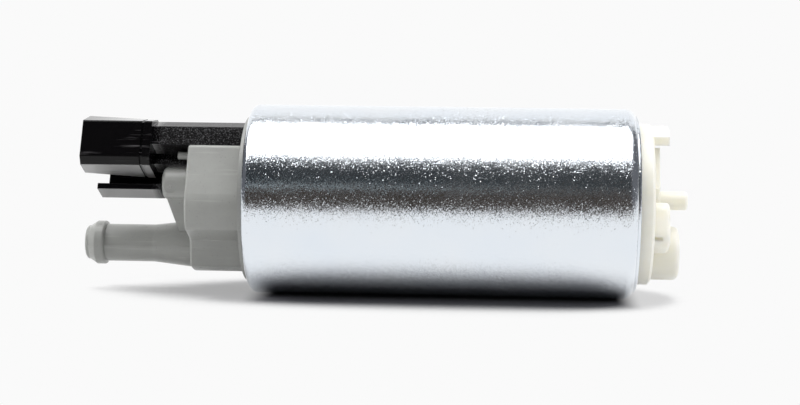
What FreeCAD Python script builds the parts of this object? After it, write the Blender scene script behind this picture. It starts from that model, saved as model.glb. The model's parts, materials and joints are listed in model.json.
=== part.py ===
"""In-tank electric fuel pump: a steel can with a grooved-rotor pump, a motor and two moulded ends.

Every piece is drawn standing up, in pump coordinates: z runs along the can from the inlet end to
the outlet end, with 0 half way along the can; x points from the can's axis to the connector's side;
y points away from the person looking at the front. At the end each piece is laid on its side, so
that z points along -X of the part's own frame, and is rolled about the can's axis by lie_angle.
All sizes are in millimetres and degrees.
"""
import FreeCAD, Part
import math
import os
import re
import Sketcher

# Driving sizes: name, value, what it is
SIZES = (
    ("lie_angle", 26, "roll of the pump about its own axis, as it lies on a table"),
    ("fit_gap", 0.05, "clearance of a piece seated in another"),
    ("run_gap", 0.04, "radial clearance of a running fit"),
    ("face_gap", 0.03, "end clearance of a turning piece"),

    ("can_radius", 19.5, "outside radius of the steel can"),
    ("can_length", 79, "length of the can over both rolled ends"),
    ("can_wall", 1.5, "wall of the can"),
    ("crimp_radius", 1.5, "outside rounding of the outlet end"),
    ("crimp_lip", 1.2, "thickness of the lip rolled in over the outlet cover"),
    ("outlet_lip_reach", 2.5, "how far the outlet lip reaches in from the can's outside"),
    ("neck_length", 2.4, "length of the drawn-in shoulder at the inlet end"),
    ("neck_drop", 1.4, "how much the shoulder draws in"),
    ("inlet_lip", 1.2, "thickness of the lip rolled in over the inlet cap"),
    ("inlet_lip_reach", 2.9, "how far the inlet lip reaches in from the can's outside"),

    ("cap_flange_height", 8.3, "height of the inlet cap inside the can"),
    ("cap_disc_gap", 0.2, "gap between the cap's outside disc and the inlet lip"),
    ("cap_disc_out", 2.8, "how far the disc stands out of the can"),
    ("cap_edge", 0.5, "chamfer of the disc's edge"),
    ("cap_floor", 3.4, "thickness of the disc over the suction chamber"),
    ("chamber_wall", 2.35, "wall between the suction chamber and the can"),
    ("bearing_post_radius", 4.6, "post that holds the inlet bush"),
    ("suction_radius", 5.5, "outside radius of the inlet nipple"),
    ("suction_bore", 4.0, "bore radius of the inlet nipple"),
    ("suction_out", 8.8, "how far the inlet nipple stands out of the can"),
    ("suction_round", 1.2, "rounding of the inlet nipple's end"),
    ("suction_x", -8.8, "place of the inlet nipple"),
    ("suction_y", 4.8, "place of the inlet nipple"),
    ("pin_radius", 1.9, "radius of the strainer's locating pin"),
    ("pin_out", 10.3, "how far the locating pin stands out of the can"),
    ("pin_round", 0.6, "rounding of the locating pin's end"),
    ("pin_collar_radius", 2.6, "radius of the collar at the foot of the pin"),
    ("pin_collar_out", 4.6, "how far that collar stands out of the can"),
    ("pin_x", 0.4, "place of the locating pin"),
    ("pin_y", -1.3, "place of the locating pin"),
    ("vent_length", 9.4, "length of the vent block on the inlet cap"),
    ("vent_width", 8.0, "width of the vent block"),
    ("vent_out", 6.1, "how far the vent block stands out of the can"),
    ("vent_corner", 2.5, "corner radius of the vent block"),
    ("vent_round", 0.9, "rounding of the vent block's top"),
    ("vent_x", -7.2, "place of the vent block"),
    ("vent_y", -6.0, "place of the vent block"),
    ("vent_slot_width", 0.6, "width of the slot in the vent block's side"),
    ("vent_slot_height", 1.8, "height of that slot"),
    ("vent_slot_depth", 1.2, "depth of that slot"),
    ("vent_slot_x", -11.0, "place of that slot"),
    ("vent_slot_below", 1.6, "distance of that slot from the block's top"),
    ("tab_out", 6.0, "how far the curved tab at the edge stands out of the can"),
    ("tab_inset", 0.3, "distance of the curved tab from the disc's edge"),
    ("tab_wall", 2.0, "wall of the curved tab"),
    ("tab_low_angle", -53, "direction of the curved tab's lower end"),
    ("tab_high_angle", 5, "direction of the curved tab's upper end"),
    ("step_out", 4.2, "how far the cap's raised step stands out of the can"),
    ("step_low", -0.3, "lower edge of the raised step"),
    ("step_high", 8.5, "upper edge of the raised step"),
    ("step_width", 15.0, "width of the raised step"),
    ("step_y", -2.5, "place of the raised step"),

    ("wear_plate_height", 1.5, "thickness of the wear plate below the rotors"),
    ("rotor_height", 7.0, "height of the pumping chamber"),
    ("port_plate_height", 5.0, "thickness of the port plate above the rotors"),
    ("rotor_teeth", 6, "teeth of the inner rotor; the outer rotor has one lobe more"),
    ("eccentricity", 1.1, "distance between the axes of the two rotors"),
    ("rotor_rim", 3.2, "distance of the outer rotor's lobe centres from its outside"),
    ("lobe_radius", 2.6, "radius of one lobe"),
    ("mesh_gap", 0.05, "gap between the rotors' flanks"),
    ("root_gap", 0.15, "room beyond the inner rotor's tips"),
    ("outer_rotor_radius", 13.6, "outside radius of the outer rotor"),
    ("port_inner", 6.6, "inside radius of the kidney ports"),
    ("port_outer", 10.0, "outside radius of the kidney ports"),
    ("port_span", 110, "angle that a kidney port spans"),

    ("shaft_radius", 1.6, "radius of the armature shaft"),
    ("shaft_short", 0.4, "how far the shaft stops below the top of the outlet bush"),
    ("shaft_edge", 0.3, "chamfer on the shaft's ends"),
    ("bush_radius", 3.2, "outside radius of the sintered bushes"),
    ("bush_length", 4.6, "length of the sintered bushes"),
    ("button_height", 1.0, "height of the thrust button under the shaft"),
    ("button_radius", 2.4, "radius of the thrust button"),
    ("washer_radius", 3.6, "radius of the thrust washer"),
    ("washer_height", 0.6, "thickness of the thrust washer"),
    ("coupling_radius", 4.2, "radius of the coupling that drives the inner rotor"),
    ("coupling_clear", 0.5, "room between the inner rotor and the coupling's hub"),
    ("coupling_height", 7.6, "height of the coupling's hub"),
    ("tang_width", 2.4, "width of one driving tang"),
    ("tang_inner", 2.3, "distance of a tang from the axis, inside"),
    ("tang_depth", 3.0, "how far the tangs reach below the hub"),

    ("core_radius", 12.4, "radius of the armature's iron core"),
    ("core_short", 56.0, "how much shorter than the can the iron core is"),
    ("slot_count", 8, "slots in the core, and bars of the commutator"),
    ("slot_floor", 6.0, "radius of the bottom of a slot"),
    ("slot_top", 11.4, "radius where a slot narrows to its mouth"),
    ("slot_width_low", 2.0, "width of a slot at its bottom"),
    ("slot_width_high", 5.2, "width of a slot at its top"),
    ("slot_mouth", 1.6, "width of a slot's mouth"),
    ("coil_gap", 0.1, "insulation between windings and iron"),
    ("coil_outer", 11.2, "outside radius of the end turns"),
    ("coil_inner", 3.4, "inside radius of the end turns"),
    ("coil_end_height", 4.2, "height of the end turns beyond the core"),
    ("coil_round", 1.6, "rounding of the end turns"),
    ("coil_clear", 1.2, "room between the coupling and the end turns"),
    ("commutator_radius", 11.0, "radius of the commutator"),
    ("commutator_gap", 0.2, "room between the end turns and the commutator"),
    ("commutator_height", 7.1, "height of the commutator up to the face that the brushes run on"),
    ("segment_height", 2.2, "thickness of the copper segments"),
    ("segment_inner", 4.8, "inside radius of the copper segments"),
    ("segment_gap", 0.6, "gap between two copper segments"),
    ("hub_radius", 3.8, "radius of the commutator's hub"),
    ("hub_rise", 1.3, "how far the hub stands above the brush face"),

    ("magnet_short", 43.0, "how much shorter than the can the magnets are"),
    ("magnet_inner", 13.0, "inside radius of the magnets"),
    ("magnet_span", 132, "angle that one magnet spans"),
    ("clip_wall", 0.6, "sheet thickness of the magnet clips"),
    ("clip_width", 9.0, "width of a magnet clip"),
    ("clip_leg", 2.6, "depth of a clip's legs"),

    ("cover_flange", 3.5, "thickness of the outlet cover's flange under the lip"),
    ("cover_ring_out", 0.9, "how far the cover's ring stands out of the can"),
    ("cover_ring_gap", 0.1, "gap between that ring and the lip"),
    ("skirt_wall", 1.7, "wall of the cover's skirt inside the can"),
    ("tower_out", 12.0, "how far the cover's housing stands out of the can"),
    ("tower_wall", 1.8, "wall of the cover's housing"),
    ("tower_edge", 0.5, "rounding along the housing's end face"),
    ("tower_flat_inset", 3.5, "distance of the housing's flat front from the edge of the cover's ring"),
    ("tower_side", 6.6, "distance of the housing's connector side from the axis"),
    ("tower_flat_end", -4.2, "lower end of the flat front"),
    ("tower_bend_radius", 8.0, "bend below the flat front"),
    ("tower_shelf_x", -10.6, "shelf below the bend"),
    ("tower_bend_end", -9.8, "where the bend meets the shelf"),
    ("tower_notch_y", -3.8, "inner corner of the shelf"),
    ("tower_foot_y", -0.6, "where the outlet's foot starts"),
    ("tower_foot_x", -14.9, "outer corner of the outlet's foot"),
    ("tower_round_inset", 1.7, "distance of the housing's round back from the edge of the cover's ring"),
    ("tower_corner", 0.8, "rounding of the housing's long edges"),
    ("bearing_hub_radius", 5.2, "hub that holds the outlet bush"),

    ("nipple_inset", 4.72, "distance of the outlet nipple from the housing's round back"),
    ("nipple_angle", 138.1, "direction of the outlet nipple"),
    ("nipple_root", 5.0, "radius at the nipple's foot"),
    ("nipple_taper", 9.2, "length of the taper at the foot"),
    ("nipple_radius", 3.9, "radius of the hose tube"),
    ("nipple_bore", 2.5, "bore radius of the outlet nipple"),
    ("barb_length", 4.2, "from the barb's back shoulder to the nipple's end"),
    ("barb_flat", 2.0, "length of the barb's crest"),
    ("barb_radius", 4.55, "radius of the barb's crest"),
    ("barb_heel", 0.5, "rounding of the barb's back shoulder"),
    ("nose_radius", 3.55, "radius where the barb's cone ends"),
    ("nose_round", 0.7, "rounding of the nipple's nose"),
    ("nipple_out", 35.5, "how far the outlet nipple stands out of the can"),

    ("valve_chamber", 3.3, "bore radius of the outlet valve's chamber"),
    ("valve_seat_above", 1.4, "height of the valve seat above the cover's ring"),
    ("valve_seat_height", 1.6, "height of the valve seat"),
    ("valve_seat_bore", 1.9, "bore radius of the valve seat"),
    ("valve_head", 2.7, "radius of the valve's head"),
    ("valve_head_height", 1.1, "height of the valve's head"),
    ("valve_stem", 0.9, "radius of the valve's stem"),
    ("valve_stem_short", 0.6, "how far the stem stops below the top of its guide"),
    ("valve_travel", 1.8, "lift of the outlet valve"),
    ("guide_under", 1.7, "depth of the stem guide below the housing's end face"),
    ("guide_height", 1.8, "height of the stem guide"),
    ("guide_hole", 0.7, "radius of a flow hole in the stem guide"),
    ("guide_hole_circle", 2.15, "radius of the circle of flow holes"),
    ("guide_hole_count", 4, "flow holes in the stem guide"),
    ("valve_spring_radius", 1.7, "mean radius of the valve spring"),
    ("valve_spring_wire", 0.4, "wire of the valve spring"),
    ("valve_spring_turns", 3, "turns of the valve spring"),

    ("boss_x", 0.2, "place of the relief valve's boss"),
    ("boss_inset", 5.9, "distance of the boss from the housing's flat front"),
    ("boss_radius", 3.25, "radius of the boss"),
    ("boss_out", 17.4, "how far the boss stands out of the can"),
    ("boss_round", 0.9, "rounding of the boss's end"),
    ("relief_bore", 1.8, "bore radius of the relief valve"),
    ("relief_inlet", 0.9, "radius of the relief valve's inlet"),
    ("relief_seat_above", 5.6, "height of the relief valve's floor above the cover's ring"),
    ("ball_radius", 1.4, "radius of the relief ball"),
    ("relief_travel", 1.2, "lift of the relief ball"),
    ("plug_height", 1.6, "height of the relief plug"),
    ("plug_hole", 0.8, "radius of the hole in the relief plug"),
    ("relief_spring_radius", 1.1, "mean radius of the relief spring"),
    ("relief_spring_wire", 0.4, "wire of the relief spring"),
    ("relief_spring_turns", 4, "turns of the relief spring"),
    ("gusset_width", 2.4, "width of the gusset from the boss to the nipple"),
    ("gusset_drop", 0.4, "how far the gusset starts below the boss's end"),
    ("gusset_fall", 2.3, "how much lower the gusset ends at the nipple"),
    ("peg_x", 5.2, "place of the small peg"),
    ("peg_inset", 3.0, "distance of the small peg from the housing's flat front"),
    ("peg_radius", 0.8, "radius of the small peg"),
    ("peg_height", 2.4, "height of the small peg"),

    ("brush_circle", 8.4, "distance of the brushes from the axis"),
    ("brush_angle", -15, "direction of the first brush"),
    ("brush_depth", 4.0, "brush size along the radius"),
    ("brush_width", 5.0, "brush size across the radius"),
    ("brush_height", 6.5, "length of a brush"),
    ("brush_travel", 1.8, "how far a brush can be pushed back"),
    ("brush_gap", 0.1, "clearance round a brush"),
    ("brush_wall", 1.2, "wall of a brush guide"),
    ("guide_clear", 2.1, "room between the commutator and the brush guides"),
    ("brush_roof", 1.7, "thickness over the brush springs"),
    ("brush_spring_radius", 1.4, "mean radius of a brush spring"),
    ("brush_spring_wire", 0.4, "wire of a brush spring"),
    ("brush_spring_turns", 3, "turns of a brush spring"),

    ("choke_x", 1.6, "place of the choke on the far side"),
    ("choke_y", 8.2, "place of the choke on the far side"),
    ("choke_near_x", -5.6, "place of the choke on the near side"),
    ("choke_near_inset", 5.6, "distance of that choke from the housing's flat front"),
    ("choke_core", 1.2, "radius of a choke's ferrite rod"),
    ("choke_outer", 1.8, "radius over a choke's winding"),
    ("choke_length", 8.0, "length of a choke's ferrite rod"),
    ("choke_winding", 6.0, "length of a choke's winding"),

    ("connector_datum", 13.4, "flat front of the housing that the connector's sizes are given for"),
    ("slab_front", 12.9, "front of the connector's foot at its lower edge"),
    ("slab_shoulder_x", 10.4, "front shoulder of the connector's foot"),
    ("slab_shoulder_y", -13.3, "front shoulder of the connector's foot"),
    ("slab_ridge_x", 13.2, "top ridge of the connector's foot"),
    ("slab_ridge_y", -8.9, "top ridge of the connector"),
    ("slab_back", 3.0, "back of the connector's foot"),
    ("slab_back_edge", 11.8, "height of the foot at its back"),
    ("slab_out", 19.5, "how far the connector's foot stands out of the can"),
    ("socket_out", 33.7, "how far the socket's mouth stands out of the can"),
    ("socket_wall", 1.2, "wall of the socket"),
    ("socket_depth", 11.0, "depth of the socket"),
    ("socket_front", 14.6, "front of the socket"),
    ("socket_under", 1.8, "underside of the socket"),
    ("socket_back", 1.2, "distance of the socket's back from the middle plane"),
    ("socket_corner", 1.4, "lower front corner of the socket"),
    ("socket_ridge_low", 13.5, "top ridge of the socket at its foot"),
    ("socket_ridge_high", 14.2, "top ridge of the socket at its mouth"),
    ("socket_shoulder", 11.0, "where the socket's front turns into its slope"),
    ("socket_slope", 5.4, "width of that slope"),
    ("socket_edge", 0.4, "rounding of the socket's long edges"),
    ("groove_above", 1.6, "height of the groove above the connector's foot"),
    ("groove_width", 0.5, "width of that groove"),
    ("groove_depth", 0.35, "depth of that groove"),
    ("socket_keel_low", 6.2, "back of the socket's lowest face, at its foot"),
    ("socket_keel_high", 8.7, "back of the socket's lowest face, at its mouth"),
    ("socket_rise", 3.3, "how much higher the socket's underside is at its back"),
    ("socket_rise_run", 3.6, "width of the slope between the two"),
    ("neck_front", 7.6, "front of the connector's neck"),
    ("neck_under", 3.7, "underside of the connector's neck"),
    ("neck_ledge", 9.3, "front of the ledge along the neck's lower edge"),
    ("neck_ledge_height", 1.1, "thickness of that ledge"),
    ("rail_clear", 0.2, "gap between the relief valve's boss and the latch rail"),
    ("rail_short", 3.1, "how far the latch rail stops below the socket's mouth"),
    ("rail_step", 1.1, "how much shorter than the rail its web is"),
    ("rail_under", -2.0, "underside of the latch rail"),
    ("rail_thickness", 1.2, "thickness of the latch rail"),
    ("rail_front", 9.7, "front edge of the latch rail"),
    ("rail_web", 1.1, "thickness of the web behind the rail"),
    ("rail_back", 3.4, "back of that web"),

    ("blade_width", 2.8, "width of a terminal blade"),
    ("blade_thickness", 0.8, "thickness of a terminal blade"),
    ("blade_x", 8.0, "distance of the blades from the axis"),
    ("blade_pitch", 5.0, "distance between the two blades"),
    ("blade_middle", -7.6, "middle between the two blades"),
    ("blade_short", 2.8, "how far the blades' tips stay inside the socket's mouth"),
    ("blade_point", 0.5, "chamfer at the tips of the blades"),
    ("tongue_above", 3.2, "height of the blades' inner tongues above the cover's ring"),
    ("tongue_end", 3.8, "inner end of the blades' tongues"),

    ("seal_wire", 1.2, "section of the sealing rings"),
    ("seal_squeeze", 0.1, "how much deeper than its groove a sealing ring is"),
    ("seal_above", 4.0, "height of the inlet seal above the cap's seat"),
    ("seal_below", 1.8, "depth of the outlet seal below the cover's flange top"),
)
SIZE_NAMES = {name for name, value, meaning in SIZES}

doc = FreeCAD.newDocument("fuel_pump")
sheet = doc.addObject("Spreadsheet::Sheet", "Sizes")
for row, (name, value, meaning) in enumerate(SIZES, 1):
    sheet.set(f"A{row}", name)
    sheet.set(f"B{row}", str(value))
    sheet.set(f"C{row}", meaning)
    sheet.setAlias(f"B{row}", name)
doc.recompute()

# Radii and levels along the can, worked out from the sizes
CAN_LOW = "-can_length/2"
CAN_HIGH = "can_length/2"
CAN_BORE = "can_radius - can_wall"
BORE_FIT = "can_radius - can_wall - fit_gap"
OUTLET_MOUTH = "can_radius - outlet_lip_reach"
INLET_MOUTH = "can_radius - inlet_lip_reach"
CAP_DISC = f"{INLET_MOUTH} - cap_disc_gap"
CHAMBER = f"{BORE_FIT} - chamber_wall"
COVER_RING = f"{OUTLET_MOUTH} - cover_ring_gap"
TOWER_FLAT = f"{COVER_RING} - tower_flat_inset"
TOWER_ROUND = f"{COVER_RING} - tower_round_inset"
NIPPLE_X = f"({TOWER_ROUND} - nipple_inset) * cos(nipple_angle * 1deg)"
NIPPLE_Y = f"({TOWER_ROUND} - nipple_inset) * sin(nipple_angle * 1deg)"
BOSS_Y = f"-({TOWER_FLAT} - boss_inset)"
PEG_Y = f"-({TOWER_FLAT} - peg_inset)"
CHOKE_NEAR_Y = f"-({TOWER_FLAT} - choke_near_inset)"
CONNECTOR_SHIFT = f"connector_datum - ({TOWER_FLAT})"
LOBE_CIRCLE = "outer_rotor_radius - rotor_rim"
CORE_LENGTH = "can_length - core_short"
MAGNET_LENGTH = "can_length - magnet_short"
CAP_SEAT = "-can_length/2 + inlet_lip"
DISC_FACE = "-can_length/2 - cap_disc_out"
PLATE_LOW = f"{CAP_SEAT} + cap_flange_height"
ROTOR_LOW = f"{PLATE_LOW} + wear_plate_height"
ROTOR_HIGH = f"{ROTOR_LOW} + rotor_height"
PORT_HIGH = f"{ROTOR_HIGH} + port_plate_height"
MAGNET_HIGH = f"{PORT_HIGH} + {MAGNET_LENGTH}"
FLANGE_HIGH = "can_length/2 - crimp_lip"
FLANGE_LOW = f"{FLANGE_HIGH} - cover_flange"
RING_HIGH = "can_length/2 + cover_ring_out"
SHAFT_LOW = f"{PLATE_LOW} - bush_length + face_gap"
COUPLING_LOW = f"{ROTOR_HIGH} + coupling_clear"
COUPLING_HIGH = f"{COUPLING_LOW} + coupling_height"
CORE_LOW = f"{COUPLING_HIGH} + coil_clear + coil_end_height"
CORE_HIGH = f"{CORE_LOW} + {CORE_LENGTH}"
COMMUTATOR_LOW = f"{CORE_HIGH} + coil_end_height + commutator_gap"
BRUSH_FACE = f"{COMMUTATOR_LOW} + commutator_height"
WASHER_LOW = f"{BRUSH_FACE} + hub_rise + face_gap"
BUSH_LOW = f"{WASHER_LOW} + washer_height + face_gap"
BUSH_HIGH = f"{BUSH_LOW} + bush_length"
SHAFT_HIGH = f"{BUSH_HIGH} - shaft_short"
TOWER_TOP = f"{CAN_HIGH} + tower_out"
NIPPLE_TIP = f"{CAN_HIGH} + nipple_out"
BARB_LOW = f"{NIPPLE_TIP} - barb_length"
BOSS_TOP = f"{CAN_HIGH} + boss_out"
SEAT_LOW = f"{RING_HIGH} + valve_seat_above"
SEAT_HIGH = f"{SEAT_LOW} + valve_seat_height"
GUIDE_HIGH = f"{TOWER_TOP} - guide_under"
GUIDE_LOW = f"{GUIDE_HIGH} - guide_height"
RELIEF_FLOOR = f"{RING_HIGH} + relief_seat_above"
SOCKET_LOW = f"{CAN_HIGH} + slab_out"
SOCKET_TOP = f"{CAN_HIGH} + socket_out"
SOCKET_FLOOR = f"{SOCKET_TOP} - socket_depth"
TONGUE = f"{RING_HIGH} + tongue_above"
BRUSH_LOW = f"{BRUSH_FACE} + face_gap"
BRUSH_HIGH = f"{BRUSH_LOW} + brush_height"
BRUSH_ROOM = f"{RING_HIGH} - brush_roof"
INLET_SEAL = f"{CAP_SEAT} + seal_above"
OUTLET_SEAL = f"{FLANGE_HIGH} - seal_below"

parts = []


def bound(expression):
    """The expression with each size's name written as a cell of the sheet."""
    return re.sub(r"[A-Za-z_]+", lambda word: "Sizes." + word.group()
                  if word.group() in SIZE_NAMES else word.group(), str(expression))


def number(expression):
    """The value of an expression of sizes, as a plain number."""
    result = sheet.evalExpression(str(expression))
    return float(getattr(result, "Value", result))


def vector(x, y, z=0):
    return FreeCAD.Vector(number(x), number(y), number(z))


def set_size(thing, property_name, expression):
    thing.setExpression(property_name, bound(expression))


def new_body(label):
    """An empty body, kept in the list of pieces."""
    body = doc.addObject("PartDesign::Body", label)
    body.Label = label
    parts.append(body)
    return body


def keep(thing, label):
    """Put a piece that isn't a body in the list of pieces."""
    thing.Label = label
    parts.append(thing)
    return thing


def sketch_on(body, role, x="0", y="0", z="0"):
    """A sketch on one of the body's own planes, moved by x, y and z in the sketch's own directions."""
    plane = [feature for feature in body.Origin.OriginFeatures if feature.Role == role][0]
    sketch = body.newObject("Sketcher::SketchObject", body.Label + "_sketch")
    sketch.AttachmentSupport = [(plane, "")]
    sketch.MapMode = "FlatFace"
    for letter, shift in zip("xyz", (x, y, z)):
        if shift != "0":
            set_size(sketch, f"AttachmentOffset.Base.{letter}", shift)
    return sketch


def level(body, z):
    """A sketch square to the can's axis, at height z."""
    return sketch_on(body, "XY_Plane", z=z)


def beside(body, z):
    """A sketch square to the can's axis for the connector, which keeps its place on the housing's front."""
    return sketch_on(body, "XY_Plane", y=CONNECTOR_SHIFT, z=z)


def upright(body, x="0", y="0"):
    """A sketch that stands along the can, with its own upright axis at x and y."""
    return sketch_on(body, "XZ_Plane", x=x, z=f"-({y})")


def outline(sketch, steps):
    """A closed outline through points. A step is x, y and, for an arc that ends there, its radius
    and its side: 1 for an arc that turns left on its way, -1 for one that turns right."""
    corners = [vector(step[0], step[1]) for step in steps]
    first = sketch.GeometryCount
    tail_and_head = []
    for index, step in enumerate(steps):
        start = corners[index - 1]
        end = corners[index]
        forward = len(step) == 2 or step[3] > 0
        tail_and_head.append((1, 2) if forward else (2, 1))
        if len(step) == 2:
            sketch.addGeometry(Part.LineSegment(start, end))
        else:
            chord = end - start
            rise = math.sqrt(max(number(step[2]) ** 2 - (chord.Length / 2) ** 2, 0))
            left = FreeCAD.Vector(-chord.y, chord.x, 0).normalize()
            centre = (start + end) * 0.5 + left * (rise * step[3])
            middle = centre - left * (number(step[2]) * step[3])
            ends = (start, middle, end) if forward else (end, middle, start)
            sketch.addGeometry(Part.ArcOfCircle(*ends))
    for index, step in enumerate(steps):
        following = (index + 1) % len(steps)
        head = tail_and_head[index][1]
        sketch.addConstraint(Sketcher.Constraint("Coincident", first + index, head,
                                                 first + following, tail_and_head[following][0]))
        for kind, place in (("DistanceX", step[0]), ("DistanceY", step[1])):
            row = sketch.addConstraint(Sketcher.Constraint(kind, first + index, head, number(place)))
            set_size(sketch, f"Constraints[{row}]", place)
        if len(step) > 2:
            row = sketch.addConstraint(Sketcher.Constraint("Radius", first + index, number(step[2])))
            set_size(sketch, f"Constraints[{row}]", step[2])
    return sketch


def circle(sketch, radius, x="0", y="0"):
    """A full circle in a sketch."""
    ring = sketch.addGeometry(Part.Circle(vector(x, y), FreeCAD.Vector(0, 0, 1), number(radius)))
    rows = (("DistanceX", x), ("DistanceY", y))
    for kind, place in rows:
        row = sketch.addConstraint(Sketcher.Constraint(kind, ring, 3, number(place)))
        set_size(sketch, f"Constraints[{row}]", place)
    row = sketch.addConstraint(Sketcher.Constraint("Radius", ring, number(radius)))
    set_size(sketch, f"Constraints[{row}]", radius)
    return sketch


def rectangle(sketch, left, right, low, high):
    """A rectangle between four expressions."""
    return outline(sketch, ((left, low), (right, low), (right, high), (left, high)))


def settle(body, feature, adds):
    """Recompute, and make sure that the feature added material or took some away."""
    before = body.Shape.Volume if not body.Shape.isNull() else 0
    doc.recompute()
    change = body.Shape.Volume - before
    if (change > 0) != adds or abs(change) < 1e-4:
        raise RuntimeError(f"{feature.Label} changed {body.Label} by {change:.4f} mm3")
    return feature


def turn(body, sketch, adds=True):
    """Turn a profile round the sketch's own upright axis, to add it or to cut it away."""
    kind = "PartDesign::Revolution" if adds else "PartDesign::Groove"
    feature = body.newObject(kind, body.Label + ("_turned" if adds else "_bored"))
    feature.Profile = (sketch, [""])
    feature.ReferenceAxis = (sketch, ["V_Axis"])
    feature.Angle = 360
    return settle(body, feature, adds)


def raise_by(body, sketch, height, down=False):
    """Add the sketch's area, upwards by height, or downwards."""
    feature = body.newObject("PartDesign::Pad", body.Label + "_pad")
    feature.Profile = (sketch, [""])
    feature.Reversed = down
    set_size(feature, "Length", height)
    return settle(body, feature, True)


def sink_by(body, sketch, depth, up=False):
    """Cut the sketch's area away, downwards by depth, or upwards."""
    feature = body.newObject("PartDesign::Pocket", body.Label + "_pocket")
    feature.Profile = (sketch, [""])
    feature.Reversed = up
    set_size(feature, "Length", depth)
    return settle(body, feature, False)


def run_between(body, low, high, adds):
    """Add, or cut away, the straight-sided form that runs from one outline to another."""
    kind = "PartDesign::AdditiveLoft" if adds else "PartDesign::SubtractiveLoft"
    feature = body.newObject(kind, body.Label + ("_loft" if adds else "_hollow"))
    feature.Profile = (low, [""])
    feature.Sections = [(high, [""])]
    feature.Ruled = True
    return settle(body, feature, adds)


def repeat_round(body, feature, count, adds):
    """Repeat a feature evenly round the can's axis."""
    pattern = body.newObject("PartDesign::PolarPattern", body.Label + "_pattern")
    pattern.Originals = [feature]
    pattern.Axis = ([plane for plane in body.Origin.OriginFeatures if plane.Role == "Z_Axis"][0], [""])
    pattern.Angle = 360
    set_size(pattern, "Occurrences", count)
    body.Tip = pattern
    return settle(body, pattern, adds)


def edges_where(body, test):
    """Names of the body's edges for which test(edge) is true."""
    return [f"Edge{index}" for index, edge in enumerate(body.Shape.Edges, 1) if test(edge)]


def soften(body, test, radius):
    """Round the edges for which test(edge) is true."""
    names = edges_where(body, test)
    if not names:
        raise RuntimeError(f"{body.Label} has no edge to round there")
    rounded = body.Tip
    feature = body.newObject("PartDesign::Fillet", body.Label + "_round")
    feature.Base = (rounded, names)
    set_size(feature, "Radius", radius)
    doc.recompute()
    if "Invalid" in feature.State:
        raise RuntimeError(f"{body.Label} can't be rounded by {radius}")
    return feature


def at_level(edge, z):
    """Whether an edge lies flat at height z."""
    box = edge.BoundBox
    return abs(box.ZMin - number(z)) < 1e-4 and abs(box.ZMax - number(z)) < 1e-4


def stands_at(edge, x, y):
    """Whether an edge runs along the can through the point x, y."""
    ends = [vertex.Point for vertex in edge.Vertexes]
    if len(ends) != 2 or abs(ends[0].z - ends[1].z) < 1e-3:
        return False
    return all(math.hypot(end.x - number(x), end.y - number(y)) < 1e-3 for end in ends)


def shaft_hole(body, radius, low, high):
    """Bore a plain hole along the axis."""
    return sink_by(body, circle(level(body, high), radius), f"({high}) - ({low})")


def ring_piece(label, outer, inner, low, high):
    """A plain ring about the axis."""
    body = new_body(label)
    sketch = circle(level(body, low), outer)
    circle(sketch, inner)
    raise_by(body, sketch, f"({high}) - ({low})")
    return body


def coil(label, radius, wire, turns, low, high, x="0", y="0"):
    """A round-wire spring between two levels, as one tube on quarter turns. Each quarter is an arc
    whose ends lie square to the radius, so the arcs join with no corner."""
    mean = number(radius)
    thickness = number(wire)
    start_height = number(low) + thickness / 2
    rise = number(high) - number(low) - thickness
    quarters = int(round(number(turns) * 4))
    step = rise / quarters
    quarter = math.pi / 2
    slope = math.atan(step * math.cos(quarter / 2) / (2 * mean * math.sin(quarter / 2)))
    edges = []
    for index in range(quarters):
        angle = index * quarter
        start = FreeCAD.Vector(mean * math.cos(angle), mean * math.sin(angle), start_height + index * step)
        end = FreeCAD.Vector(mean * math.cos(angle + quarter), mean * math.sin(angle + quarter),
                             start.z + step)
        tangent = FreeCAD.Vector(-math.sin(angle) * math.cos(slope), math.cos(angle) * math.cos(slope),
                                 math.sin(slope))
        chord = end - start
        along = FreeCAD.Vector(chord).normalize()
        bulge = tangent - along * tangent.dot(along)
        turn_angle = math.atan2(bulge.Length, tangent.dot(along))
        middle = (start + end) * 0.5 + bulge.normalize() * (chord.Length / 2 * math.tan(turn_angle / 2))
        edges.append(Part.Arc(start, middle, end).toShape())
    path = Part.Wire(edges)
    first = edges[0]
    section = Part.Wire([Part.Circle(first.valueAt(first.FirstParameter),
                                     first.tangentAt(first.FirstParameter), thickness / 2).toShape()])
    spring = keep(doc.addObject("Part::Feature", label), label)
    spring.Shape = path.makePipeShell([section], True, False)
    spring.Placement = FreeCAD.Placement(vector(x, y), FreeCAD.Rotation())
    free_gap = rise / number(turns) - thickness
    print(f"{label}: {quarters / 4:g} turns, gap between turns {free_gap:.2f} mm")
    return spring


def steel_can():
    """Drawn steel tube with both ends rolled in."""
    body = new_body("steel_can")
    shoulder = "can_radius - neck_drop"
    outline(sketch := upright(body), (
        (INLET_MOUTH, CAN_LOW),
        (f"{shoulder} - inlet_lip/2", CAN_LOW),
        (shoulder, f"{CAN_LOW} + inlet_lip/2", "inlet_lip/2", 1),
        ("can_radius", f"{CAN_LOW} + neck_length", "neck_length", 1),
        ("can_radius", f"{CAN_HIGH} - crimp_radius"),
        ("can_radius - crimp_radius", CAN_HIGH, "crimp_radius", 1),
        (OUTLET_MOUTH, CAN_HIGH),
        (OUTLET_MOUTH, f"{CAN_HIGH} - crimp_lip"),
        (CAN_BORE, f"{CAN_HIGH} - crimp_lip"),
        (CAN_BORE, f"{CAN_LOW} + inlet_lip"),
        (INLET_MOUTH, f"{CAN_LOW} + inlet_lip")))
    turn(body, sketch)
    return body


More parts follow.
